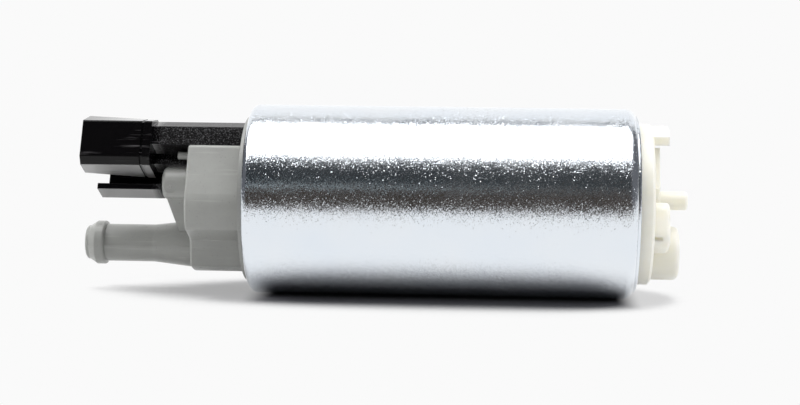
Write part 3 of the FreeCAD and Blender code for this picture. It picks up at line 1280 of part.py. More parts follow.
def terminal_blades():
    """Two tinned blades that turn at their lower end into a tongue inside the outlet housing."""
    tip = f"{SOCKET_TOP} - blade_short"
    for name, way in (("positive", -1), ("negative", 1)):
        body = new_body(f"terminal_blade_{name}")
        middle = f"blade_middle + {way}*blade_pitch/2"
        # The sketch stands along the can and is raised across the blade's width
        sketch = sketch_on(body, "XZ_Plane", z=f"-({middle} - blade_width/2 + {CONNECTOR_SHIFT})")
        outline(sketch, (
            ("tongue_end", f"{TONGUE} - blade_thickness/2"),
            ("blade_x + blade_thickness/2", f"{TONGUE} - blade_thickness/2"),
            ("blade_x + blade_thickness/2", f"{tip} - blade_point"),
            ("blade_x + blade_thickness/4", tip),
            ("blade_x - blade_thickness/4", tip),
            ("blade_x - blade_thickness/2", f"{tip} - blade_point"),
            ("blade_x - blade_thickness/2", f"{TONGUE} + blade_thickness/2"),
            ("tongue_end", f"{TONGUE} + blade_thickness/2")))
        raise_by(body, sketch, "blade_width", down=True)


def lay_down():
    """Turn the standing pieces on their side, connector side up, and roll them by lie_angle."""
    on_side = FreeCAD.Rotation(FreeCAD.Vector(0, 1, 0), -90)
    roll = FreeCAD.Rotation(FreeCAD.Vector(1, 0, 0), -number("lie_angle"))
    lying = FreeCAD.Placement(FreeCAD.Vector(), roll * on_side)
    for piece in parts:
        piece.Placement = lying * piece.Placement


def check_and_write():
    """Stop if anything failed; then write one file for each piece."""
    failed = [thing.Label for thing in doc.Objects
              if "Invalid" in thing.State or "Error" in thing.State]
    for piece in parts:
        if piece.Shape.isNull() or not piece.Shape.isValid() or not piece.Shape.Solids:
            failed.append(piece.Label)
    if failed:
        raise RuntimeError("failed: " + ", ".join(failed))
    os.makedirs("parts", exist_ok=True)
    for piece in parts:
        piece.Shape.exportStep(os.path.join("parts", piece.Label + ".step"))
    print(f"{len(parts)} pieces written")


steel_can()
inlet_cap()
inlet_bearing()
wear_plate()
eccentric_ring()
port_plate()
outer_rotor()
inner_rotor()
drive_coupling()
armature_shaft()
lamination_stack()
armature_windings()
commutator()
thrust_washer()
magnets()
magnet_clips()
outlet_cover()
outlet_valve()
relief_valve()
outlet_bearing()
brushes()
chokes()
connector_housing()
terminal_blades()
seals()
doc.recompute()
lay_down()
doc.recompute()
check_and_write()
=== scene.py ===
# %% [markdown]
# # An in-tank fuel pump on a photographer's table
#
# The real object is a small electric pump that lives inside a car's fuel tank. Its body is a
# deep-drawn, zinc-plated steel can. A pale acetal cap closes the inlet end and a grey acetal
# cover closes the outlet end, with a hose nipple and a black plug socket on it. The solid model
# gives every place and size, so this lesson only adds what the solids leave out: the finish of
# each surface, the small marks of the moulds, and a studio.

# %% Load the solid model
import json
import math

import bmesh
import bpy
from mathutils import Matrix, Quaternion, Vector
from mathutils.bvhtree import BVHTree


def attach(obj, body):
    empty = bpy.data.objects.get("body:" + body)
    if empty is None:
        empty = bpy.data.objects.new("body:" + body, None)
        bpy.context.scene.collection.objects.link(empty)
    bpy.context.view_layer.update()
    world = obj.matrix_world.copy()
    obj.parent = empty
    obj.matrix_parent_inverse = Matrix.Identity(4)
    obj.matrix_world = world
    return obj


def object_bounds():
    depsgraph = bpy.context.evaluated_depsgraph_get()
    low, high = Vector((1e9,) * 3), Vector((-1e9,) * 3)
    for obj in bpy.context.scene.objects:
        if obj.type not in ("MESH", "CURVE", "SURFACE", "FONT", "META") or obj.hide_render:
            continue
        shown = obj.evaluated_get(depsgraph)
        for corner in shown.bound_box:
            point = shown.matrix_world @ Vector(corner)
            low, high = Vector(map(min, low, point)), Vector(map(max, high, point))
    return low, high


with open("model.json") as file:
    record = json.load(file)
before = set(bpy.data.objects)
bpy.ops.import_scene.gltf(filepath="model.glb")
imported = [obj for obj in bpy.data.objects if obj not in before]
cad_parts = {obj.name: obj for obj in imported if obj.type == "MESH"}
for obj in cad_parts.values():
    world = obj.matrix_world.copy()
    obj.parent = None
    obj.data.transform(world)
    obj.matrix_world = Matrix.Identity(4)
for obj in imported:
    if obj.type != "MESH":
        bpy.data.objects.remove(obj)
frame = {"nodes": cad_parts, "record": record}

solid_low, solid_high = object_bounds()
nodes = frame["nodes"]
print("solids:", len(nodes))

# %% [markdown]
# Sizes are written in millimetres, because that is how a pump is measured, and Blender works in
# metres here. One value turns one into the other. The studio is large, so its sizes are in
# metres. Colours are written as the hex values that a colour picker shows, and one function
# turns them into the linear light that shaders use.

# %% Units and colours
MM = 0.001


def in_mm(place):
    """A place or size in metres, as rounded millimetres for printing."""
    return [round(v / MM, 2) for v in place]


def per_metre(size_mm):
    """The scale of a noise whose blobs are about this many millimetres across."""
    return 1.0 / (size_mm * MM)


def linear(hex_colour):
    """The linear colour, with alpha, of an sRGB hex value such as "#C8C8C8"."""
    parts = [int(hex_colour[i:i + 2], 16) / 255 for i in (1, 3, 5)]
    return [p / 12.92 if p <= 0.04045 else ((p + 0.055) / 1.055) ** 2.4 for p in parts] + [1.0]


print("size of the solids in mm:", in_mm(solid_high - solid_low))

# %% [markdown]
# Nearly everything that this lesson makes ends as an object in the scene, at the origin, so two
# small functions do that: one for any data, and one for a mesh in one material.

# %% Functions that add an object
def add_object(name, data):
    """A new object of this data, at the scene's origin."""
    added = bpy.data.objects.new(name, data)
    bpy.context.scene.collection.objects.link(added)
    return added


def add_mesh(name, mesh, material):
    """A new object made from a bmesh, in one material."""
    data = bpy.data.meshes.new(name)
    mesh.to_mesh(data)
    mesh.free()
    data.materials.append(material)
    return add_object(name, data)


# %% [markdown]
# A photographer stood about 37 cm in front of the pump and looked down at it by six degrees. The
# camera comes first, because every later step is judged through it. A real camera is seldom
# quite level, so it gets the half degree of roll that the photograph has.

# %% The camera
CAMERA_AT_MM = (13.87, -365.16, 36.71)
LOOKING = (-0.0621, 0.9930, -0.1009)
ROLL_DEGREES = 0.556

camera_data = bpy.data.cameras.new("product_camera")
camera_data.sensor_width = 36.0
camera_data.lens = 80.02
camera_data.clip_start = 10 * MM
camera = add_object("product_camera", camera_data)
camera.location = Vector(CAMERA_AT_MM) * MM
roll = Quaternion((0, 0, 1), math.radians(ROLL_DEGREES))
camera.rotation_euler = (Vector(LOOKING).to_track_quat("-Z", "Y") @ roll).to_euler()
bpy.context.scene.camera = camera
bpy.context.scene.view_settings.view_transform = "Standard"
print("camera at", in_mm(camera.location), "mm")

# %% [markdown]
# Every material below is a small graph of nodes. This one function adds a node, sets its
# properties or sockets, and links its inputs. A socket is named by its name, or by its number
# where a node has several of the same name. The Mix node has the most of those, so its numbers
# get names of their own.

# %% A function that adds a node
FACTOR = 0                          # inputs of a Mix node
NUMBER_A, NUMBER_B = 2, 3
COLOUR_A, COLOUR_B = 6, 7
MIXED_COLOUR = 2                    # its output when it mixes colours


def add_node(tree, kind, settings=None, links=None):
    """A new node with its settings, and its inputs linked as {input: (node, output)}."""
    node = tree.nodes.new(kind)
    for name, value in (settings or {}).items():
        if isinstance(name, int) or name in node.inputs:
            node.inputs[name].default_value = value
        else:
            setattr(node, name, value)
    for name, (source, output) in (links or {}).items():
        tree.links.new(source.outputs[output], node.inputs[name])
    return node


def new_tree(owner):
    """The empty node graph of a material or world."""
    owner.use_nodes = True
    owner.node_tree.nodes.clear()
    return owner.node_tree


# %% [markdown]
# The studio is a white table that runs back without an edge, one wide softbox overhead, a small
# lamp for the plastics at each end, and a dark card in front. Shiny metal has no look of its
# own: it shows what stands around it. The dark band along the can is the card, and the bright
# bands above and below it are the softbox and the table. The picture is over-exposed, as product
# pictures are, so reflections see the table and the room three tenths brighter than white.
#
# The table's own white is an even glow. It shows only where nothing is close to it, so its edge
# round the can is a painted shadow.
# Under that edge the plain paint shows with its real shadow. To the camera and to reflections that
# paint is a darker grey than the one the light falls on, which is painted shade that deepens the
# shadow. The camera counts each place as a little less open than a reflection does, so it sees a
# slightly wider painted shadow. Past the can's two ends the white comes back along X. That is
# painted light, standing for the light that gets in there from the side.

# %% The floor
PAPER_WHITE = "#FAFAFA"
GLARE = 0.3                         # what reflections add to white
TABLE_HALF = 4.0
OPEN_REACH_MM = 45.0                # how near a thing has to be to shade a place
CAMERA_LOSS = 0.12                  # how much less open a place is to the camera
# How open a place is where the white starts, and where it is full: the painted shadow's edges.
DARK_UNDER, WHITE_OVER = 0.19, 0.52
# Painted light past each end: where along X the white starts, where it is full, and how white it
# gets.
PAST_ENDS_MM = ((35.5, 41.0, 0.66), (-34.5, -41.0, 0.38))


def seen_rays(tree):
    """Light Path, and a node that is 1 on rays from the camera, off gloss or through glass."""
    path = add_node(tree, "ShaderNodeLightPath")
    seen = add_node(tree, "ShaderNodeMath", {"operation": "ADD"},
                    {0: (path, "Is Camera Ray"), 1: (path, "Is Glossy Ray")})
    seen = add_node(tree, "ShaderNodeMath", {"operation": "ADD", "use_clamp": True},
                    {0: (seen, 0), 1: (path, "Is Transmission Ray")})
    return path, seen


white_table = bpy.data.materials.new("white_table_paint")
tree = new_tree(white_table)
path, seen = seen_rays(tree)
# The white's share follows how open each place is, which gives a painted shadow.
open_sky = add_node(tree, "ShaderNodeAmbientOcclusion",
                    {"samples": 16, "Distance": OPEN_REACH_MM * MM})
openness = add_node(tree, "ShaderNodeMath", {"operation": "MULTIPLY_ADD", 1: -CAMERA_LOSS},
                    {0: (path, "Is Camera Ray"), 2: (open_sky, "AO")})
lit = add_node(tree, "ShaderNodeMapRange",
               {"interpolation_type": "SMOOTHSTEP", "From Min": DARK_UNDER,
                "From Max": WHITE_OVER}, {"Value": (openness, 0)})
place = add_node(tree, "ShaderNodeTexCoord")
axes = add_node(tree, "ShaderNodeSeparateXYZ", {}, {"Vector": (place, "Object")})
# Painted light past each of the can's ends.
for start_mm, full_mm, most in PAST_ENDS_MM:
    past_end = add_node(tree, "ShaderNodeMapRange",
                        {"interpolation_type": "SMOOTHSTEP", "From Min": start_mm * MM,
                         "From Max": full_mm * MM, "To Max": most}, {"Value": (axes, "X")})
    lit = add_node(tree, "ShaderNodeMath", {"operation": "MAXIMUM"},
                   {0: (lit, 0), 1: (past_end, "Result")})
share = add_node(tree, "ShaderNodeMath", {"operation": "MULTIPLY"}, {0: (seen, 0), 1: (lit, 0)})
# Painted shade: the paint that light falls on is pale, and the one that is seen is grey,
# so a shadow reads dark.
painted = add_node(tree, "ShaderNodeMix",
                   {"data_type": "RGBA", COLOUR_A: linear("#CFCFCF"),
                    COLOUR_B: linear("#6E6E72")}, {FACTOR: (seen, 0)})
strength = add_node(tree, "ShaderNodeMath", {"operation": "MULTIPLY_ADD", 1: GLARE, 2: 1.0},
                    {0: (path, "Is Glossy Ray")})
paint = add_node(tree, "ShaderNodeBsdfDiffuse", {}, {"Color": (painted, MIXED_COLOUR)})
white = add_node(tree, "ShaderNodeEmission", {"Color": linear(PAPER_WHITE)},
                 {"Strength": (strength, 0)})
surface = add_node(tree, "ShaderNodeMixShader", {}, {0: (share, 0), 1: (paint, 0), 2: (white, 0)})
add_node(tree, "ShaderNodeOutputMaterial", {}, {"Surface": (surface, 0)})

floor_z = solid_low.z
mesh = bmesh.new()
bmesh.ops.create_grid(mesh, x_segments=1, y_segments=1, size=TABLE_HALF)
bmesh.ops.translate(mesh, verts=mesh.verts, vec=(0, 0, floor_z))
floor = add_mesh("white_table", mesh, white_table)
print("floor at z", round(floor_z / MM, 2), "mm")

# %% [markdown]
# The room is plain white to the camera and to reflections. The light that it sheds on the pump
# is not as even: there is little of it from behind the photographer, and most of it comes from
# beyond the table and from the right.

# %% The room behind the table
# A direction's way back plus its way right, where the light starts and where it is full.
ROOM_FROM, ROOM_TO = -0.35, 0.6
ROOM_LEAST, ROOM_MOST = 0.12, 0.95

world = bpy.data.worlds.new("pale_room")
bpy.context.scene.world = world
tree = new_tree(world)
path, seen = seen_rays(tree)
place = add_node(tree, "ShaderNodeTexCoord")
axes = add_node(tree, "ShaderNodeSeparateXYZ", {}, {"Vector": (place, "Generated")})
rightward = add_node(tree, "ShaderNodeMath", {"operation": "MAXIMUM", 1: 0.0}, {0: (axes, "X")})
away = add_node(tree, "ShaderNodeMath", {"operation": "ADD"}, {0: (rightward, 0), 1: (axes, "Y")})
shed = add_node(tree, "ShaderNodeMapRange",
                {"From Min": ROOM_FROM, "From Max": ROOM_TO, "To Min": ROOM_LEAST,
                 "To Max": ROOM_MOST}, {"Value": (away, 0)})
level = add_node(tree, "ShaderNodeMix", {"data_type": "FLOAT", NUMBER_B: 1.0},
                 {FACTOR: (seen, 0), NUMBER_A: (shed, "Result")})
strength = add_node(tree, "ShaderNodeMath", {"operation": "MULTIPLY_ADD", 1: GLARE},
                    {0: (path, "Is Glossy Ray"), 2: (level, 0)})
sky = add_node(tree, "ShaderNodeBackground", {"Color": linear(PAPER_WHITE)},
               {"Strength": (strength, 0)})
add_node(tree, "ShaderNodeOutputWorld", {}, {"Surface": (sky, 0)})
print("room from", ROOM_LEAST, "to", ROOM_MOST)

# %% [markdown]
# The softbox hangs straight above the pump. How wide and how far forward it is sets where the
# can's upper bright band starts and ends, so its size comes from the photograph's bands. The two
# small lamps light the plastics at the ends, on the sides that the softbox leaves dim.
# Reflections don't see these two, so that no spot of them shows on the can.

# %% The softbox
SOFTBOX_WIDTH, SOFTBOX_DEPTH = 1.3, 0.493
SOFTBOX_Y, SOFTBOX_Z = -0.0485, 0.60

softbox_data = bpy.data.lights.new("overhead_softbox", "AREA")
softbox_data.shape = "RECTANGLE"
softbox_data.size = SOFTBOX_WIDTH
softbox_data.size_y = SOFTBOX_DEPTH
softbox_data.energy = 5.9
softbox = add_object("overhead_softbox", softbox_data)
softbox.location = (0.0, SOFTBOX_Y, SOFTBOX_Z)
print("softbox", SOFTBOX_WIDTH, "by", SOFTBOX_DEPTH, "m, straight above")

# %% Two small lamps for the plastics
SMALL_LAMP = 0.12

for name, place, aim, watts in (
        ("left_lamp", (-0.32, -0.05, 0.12), (-0.055, 0.0, -0.008), 0.5),
        ("right_lamp", (0.12, -0.13, 0.01), (0.045, 0.0, -0.005), 0.024)):
    lamp_data = bpy.data.lights.new(name, "AREA")
    lamp_data.size = SMALL_LAMP
    lamp_data.energy = watts
    lamp = add_object(name, lamp_data)
    lamp.location = place
    lamp.rotation_euler = (Vector(aim) - Vector(place)).to_track_quat("-Z", "Y").to_euler()
    lamp.visible_glossy = False
    print(name, watts, "W")

# %% [markdown]
# The dark card lies on the table in front of the pump and then stands up, outside the picture. It
# is a sheet that only reflections see, so it takes no light from the table. It glows with painted
# shades, a painted reflection of a dark room in front. Its colour is painted as two boards, one
# above the other. A painted line of light runs along the gap between them, brightest at the left,
# and a painted spill of the softbox's light covers the card's
# top: both show in the can. The dark frame along the softbox's back is made the same way, and so
# is a flag at each side, which is a photographer's word for a cloth that keeps light off. These
# flags keep no light off: each is a painted grey glow that only reflections see. Without them the
# rolled edges of the can show nothing but white.

# %% The dark card
CARD_HALF = 3.0
CARD_AWAY = 0.56                    # how far in front it stands
CARD_TOP = 1.39
CARD_FOOT = 0.17                    # how near to the pump it lies
BOARD_GAP = 0.210                   # the height where the upper board starts
GAP_BLUR, GAP_LIGHT = 0.004, 0.016  # half the height of the boards' change, and of the line
LINE_FULL_X, LINE_FAINT_X = -0.12, 0.06
LINE_FAINT = 0.15                   # what is left of the line at its right end
# The softbox's spill on the card is painted light: the card glows there, and no lamp lights it.
PAINTED_SPILL_FROM, PAINTED_SPILL_TO = 0.68, 1.08   # the heights where the softbox's spill starts and is full
PAINTED_SPILL_LEVEL = 2.8


def reflected_only(name, edges, material):
    """A bent sheet, through a row of straight edges, that only reflections see."""
    mesh = bmesh.new()
    rows = [[mesh.verts.new(end) for end in edge] for edge in edges]
    for low, high in zip(rows, rows[1:]):
        mesh.faces.new((low[0], low[1], high[1], high[0]))
    sheet = add_mesh(name, mesh, material)
    sheet.visible_camera = False
    sheet.visible_diffuse = False
    sheet.visible_shadow = False
    sheet.visible_transmission = False
    print("only reflections see", name)


card_painted_glow_material = bpy.data.materials.new("painted_dark_card_glow")
tree = new_tree(card_painted_glow_material)
place = add_node(tree, "ShaderNodeTexCoord")
axes = add_node(tree, "ShaderNodeSeparateXYZ", {}, {"Vector": (place, "Object")})
# Painted shades: the two boards' colours, which stand for the dark room in front.
above = add_node(tree, "ShaderNodeMapRange",
                 {"From Min": BOARD_GAP - GAP_BLUR, "From Max": BOARD_GAP + GAP_BLUR},
                 {"Value": (axes, "Z")})
painted_board_shades = add_node(tree, "ShaderNodeMix",
                  {"data_type": "RGBA", COLOUR_A: linear("#4A423D"),
                   COLOUR_B: linear("#34383B")}, {FACTOR: (above, "Result")})
# The painted line of light along the boards' gap.
in_gap = add_node(tree, "ShaderNodeMath", {"operation": "COMPARE", 1: BOARD_GAP, 2: GAP_LIGHT},
                  {0: (axes, "Z")})
fading = add_node(tree, "ShaderNodeMapRange",
                  {"From Min": LINE_FULL_X, "From Max": LINE_FAINT_X, "To Min": 1.0,
                   "To Max": LINE_FAINT}, {"Value": (axes, "X")})
line = add_node(tree, "ShaderNodeMath", {"operation": "MULTIPLY"},
                {0: (in_gap, 0), 1: (fading, "Result")})
lined = add_node(tree, "ShaderNodeMix", {"data_type": "RGBA", COLOUR_B: linear("#E4F0F4")},
                 {FACTOR: (line, 0), COLOUR_A: (painted_board_shades, MIXED_COLOUR)})
# The painted spill of softbox light over the card's top.
painted_spill = add_node(tree, "ShaderNodeMapRange",
                 {"interpolation_type": "SMOOTHSTEP", "From Min": PAINTED_SPILL_FROM,
                  "From Max": PAINTED_SPILL_TO}, {"Value": (axes, "Z")})
shown = add_node(tree, "ShaderNodeMix", {"data_type": "RGBA", COLOUR_B: linear("#FFFFFF")},
                 {FACTOR: (painted_spill, "Result"), COLOUR_A: (lined, MIXED_COLOUR)})
level = add_node(tree, "ShaderNodeMapRange", {"To Min": 1.0, "To Max": PAINTED_SPILL_LEVEL},
                 {"Value": (painted_spill, "Result")})
painted_card_glow = add_node(tree, "ShaderNodeEmission", {},
                 {"Color": (shown, MIXED_COLOUR), "Strength": (level, "Result")})
add_node(tree, "ShaderNodeOutputMaterial", {}, {"Surface": (painted_card_glow, 0)})

card_bends = ((-CARD_FOOT, floor_z + MM), (-CARD_AWAY, floor_z + MM), (-CARD_AWAY, CARD_TOP))
reflected_only("dark_card", [((-CARD_HALF, y, z), (CARD_HALF, y, z)) for y, z in card_bends],
               card_painted_glow_material)

# %% The softbox's frame and the grey flags
FRAME_BACK = 0.34
FLAG_AWAY, FLAG_FRONT = 0.5, -0.9
FLAG_GAP = 0.02                     # between a flag and the table


def painted_shade_glow(name, shade):
    """A glow of one painted shade, standing for a cloth or paint in a reflection, however the
    light falls.
    """
    material = bpy.data.materials.new(name)
    tree = new_tree(material)
    paint = add_node(tree, "ShaderNodeEmission", {"Color": linear(shade), "Strength": 1.0})
    add_node(tree, "ShaderNodeOutputMaterial", {}, {"Surface": (paint, 0)})
    return material


# Painted shades: the frame and the flags glow one grey each, which only reflections see, and they
# keep no light off.
frame_painted_shade = painted_shade_glow("painted_softbox_frame_shade", "#3C3E42")
frame_edges = [((-SOFTBOX_WIDTH / 2, y, SOFTBOX_Z - MM), (SOFTBOX_WIDTH / 2, y, SOFTBOX_Z - MM))
               for y in (SOFTBOX_Y + SOFTBOX_DEPTH / 2, FRAME_BACK)]
reflected_only("softbox_back_frame", frame_edges, frame_painted_shade)

flag_painted_shade = painted_shade_glow("painted_grey_flag_shade", "#6C6D72")
for name, x, back, top in (("right_flag", FLAG_AWAY, 0.5, 0.70),
                           ("left_flag", -FLAG_AWAY, 0.3, 0.50)):
    flag_edges = [((x, FLAG_FRONT, z), (x, back, z)) for z in (floor_z + FLAG_GAP, top)]
    reflected_only(name, flag_edges, flag_painted_shade)

# %% [markdown]
# The can is deep-drawn steel with a thin electroplated coat of zinc. Drawing and plating leave a
# fine satin grain that spreads a reflection by a few degrees, faint clouds where the plating
# bath was uneven, a cold blue cast, and hair scratches from handling. Each of these is one
# pattern below. The grain is made of crystals that each lean their own way. Most lean a little
# and a few lean far, so the edges of the dark band break up and single crystals sparkle inside
# it, which is what tells zinc plate from chrome. Real crystals and hair scratches are finer than
# a pixel of this picture, so both are drawn as coarse as they need to be to show.

# %% Zinc-plated drawn steel
PLATING_CLOUD_MM = 14
CRYSTAL_MM = 0.13
LEAST_LEAN, LEAN_TAIL = 0.05, 1.1
SCRATCH_MM = 0.24
SCRATCH_SQUEEZE = 0.03              # a hair's width as a share of its length, which is along X
SCRATCH_DEPTH_MM = 0.01


def zinc_plated_steel(name):
    """Satin zinc on drawn steel: cloudy, grainy, with hair scratches."""
    material = bpy.data.materials.new(name)
    tree = new_tree(material)
    place = add_node(tree, "ShaderNodeTexCoord")
    clouds = add_node(tree, "ShaderNodeTexNoise",
                      {"Scale": per_metre(PLATING_CLOUD_MM), "Detail": 3.0, "Roughness": 0.55},
                      {"Vector": (place, "Object")})
    cast = add_node(tree, "ShaderNodeMix",
                    {"data_type": "RGBA", COLOUR_A: linear("#CBD2DA"),
                     COLOUR_B: linear("#D6D9DC")}, {FACTOR: (clouds, "Fac")})
    crystals = add_node(tree, "ShaderNodeTexVoronoi", {"Scale": per_metre(CRYSTAL_MM)},
                        {"Vector": (place, "Object")})
    lean = add_node(tree, "ShaderNodeVectorMath", {"operation": "SUBTRACT", 1: (0.5, 0.5, 0.5)},
                    {0: (crystals, "Color")})
    facing = add_node(tree, "ShaderNodeNewGeometry")
    amount = add_node(tree, "ShaderNodeVectorMath", {"operation": "DOT_PRODUCT"},
                      {0: (lean, 0), 1: (lean, 0)})
    rare = add_node(tree, "ShaderNodeMath", {"operation": "POWER", 1: 2.0},
                    {0: (amount, "Value")})
    steep = add_node(tree, "ShaderNodeMath",
                     {"operation": "MULTIPLY_ADD", 1: LEAN_TAIL, 2: LEAST_LEAN}, {0: (rare, 0)})
    tilt = add_node(tree, "ShaderNodeVectorMath", {"operation": "SCALE"},
                    {0: (lean, 0), "Scale": (steep, 0)})
    leaning = add_node(tree, "ShaderNodeVectorMath", {"operation": "ADD"},
                       {0: (tilt, 0), 1: (facing, "Normal")})
    facet = add_node(tree, "ShaderNodeVectorMath", {"operation": "NORMALIZE"}, {0: (leaning, 0)})
    stretch = add_node(tree, "ShaderNodeMapping",
                       {"Scale": (SCRATCH_SQUEEZE, 1.0, 1.0), "Rotation": (0.0, 0.03, 0.02)},
                       {"Vector": (place, "Object")})
    hairs = add_node(tree, "ShaderNodeTexNoise",
                     {"Scale": per_metre(SCRATCH_MM), "Detail": 1.0, "Roughness": 0.5},
                     {"Vector": (stretch, "Vector")})
    scratch = add_node(tree, "ShaderNodeMapRange", {"From Min": 0.77, "From Max": 0.83},
                       {"Value": (hairs, "Fac")})
    satin = add_node(tree, "ShaderNodeMapRange",
                     {"From Min": 0.3, "From Max": 0.7, "To Min": 0.15, "To Max": 0.22},
                     {"Value": (clouds, "Fac")})
    relief = add_node(tree, "ShaderNodeBump",
                      {"Strength": 1.0, "Distance": SCRATCH_DEPTH_MM * MM},
                      {"Height": (scratch, "Result"), "Normal": (facet, 0)})
    surface = add_node(tree, "ShaderNodeBsdfPrincipled", {"Metallic": 1.0},
                       {"Base Color": (cast, MIXED_COLOUR), "Roughness": (satin, "Result"),
                        "Normal": (relief, 0)})
    add_node(tree, "ShaderNodeOutputMaterial", {}, {"Surface": (surface, 0)})
    return material


finishes = {"zinc_steel": zinc_plated_steel("zinc_plated_drawn_steel")}
print("finish:", finishes["zinc_steel"].name)

# %% [markdown]
# Three visible pieces are injection moulded. A steel mould leaves its own skin on the plastic:
# a fine spark-eroded texture, and flow clouds where the melt froze. Corners of a mould are never
# perfectly sharp, so a bevel node turns each edge over by a few tenths of a millimetre, and it
# catches a line of light. Wear shows as paler, rougher streaks. The black connector's socket
# came from a polished part of its mould and its foot from an eroded one, so the finish changes
# along X from glossy to matt and flecked. The underside of the socket, which faces the table, is
# painted pale: painted light, for the light that the table throws up. Light goes a few millimetres
# into natural acetal and comes out again, and subsurface scattering gives the cap that softness.

# %% Moulded plastics
FLOW_CLOUD_MM = 11
STREAK_MM = 0.7
STREAK_SQUEEZE = 0.06               # a streak's width as a share of its length
PIT_MM = 0.25
PIT_SHADE = "#6E6E70"
POLISHED_DEPTH, FLECK_DEPTH = 0.35, 4.0     # shares of the texture's depth
SCUFF_RISE = 0.35                   # how much rougher a full scuff is
EDGE_RADIUS_MM = 0.3
LIGHT_DEPTH_MM = 2.2
POLISH_END_MM = -59.0               # along X: past here the mould was eroded, not polished
POLISH_FADE_MM = 2.0
UNDERSIDE = (0.0, -0.44, -0.90)     # the way the socket's underside faces on the rolled pump


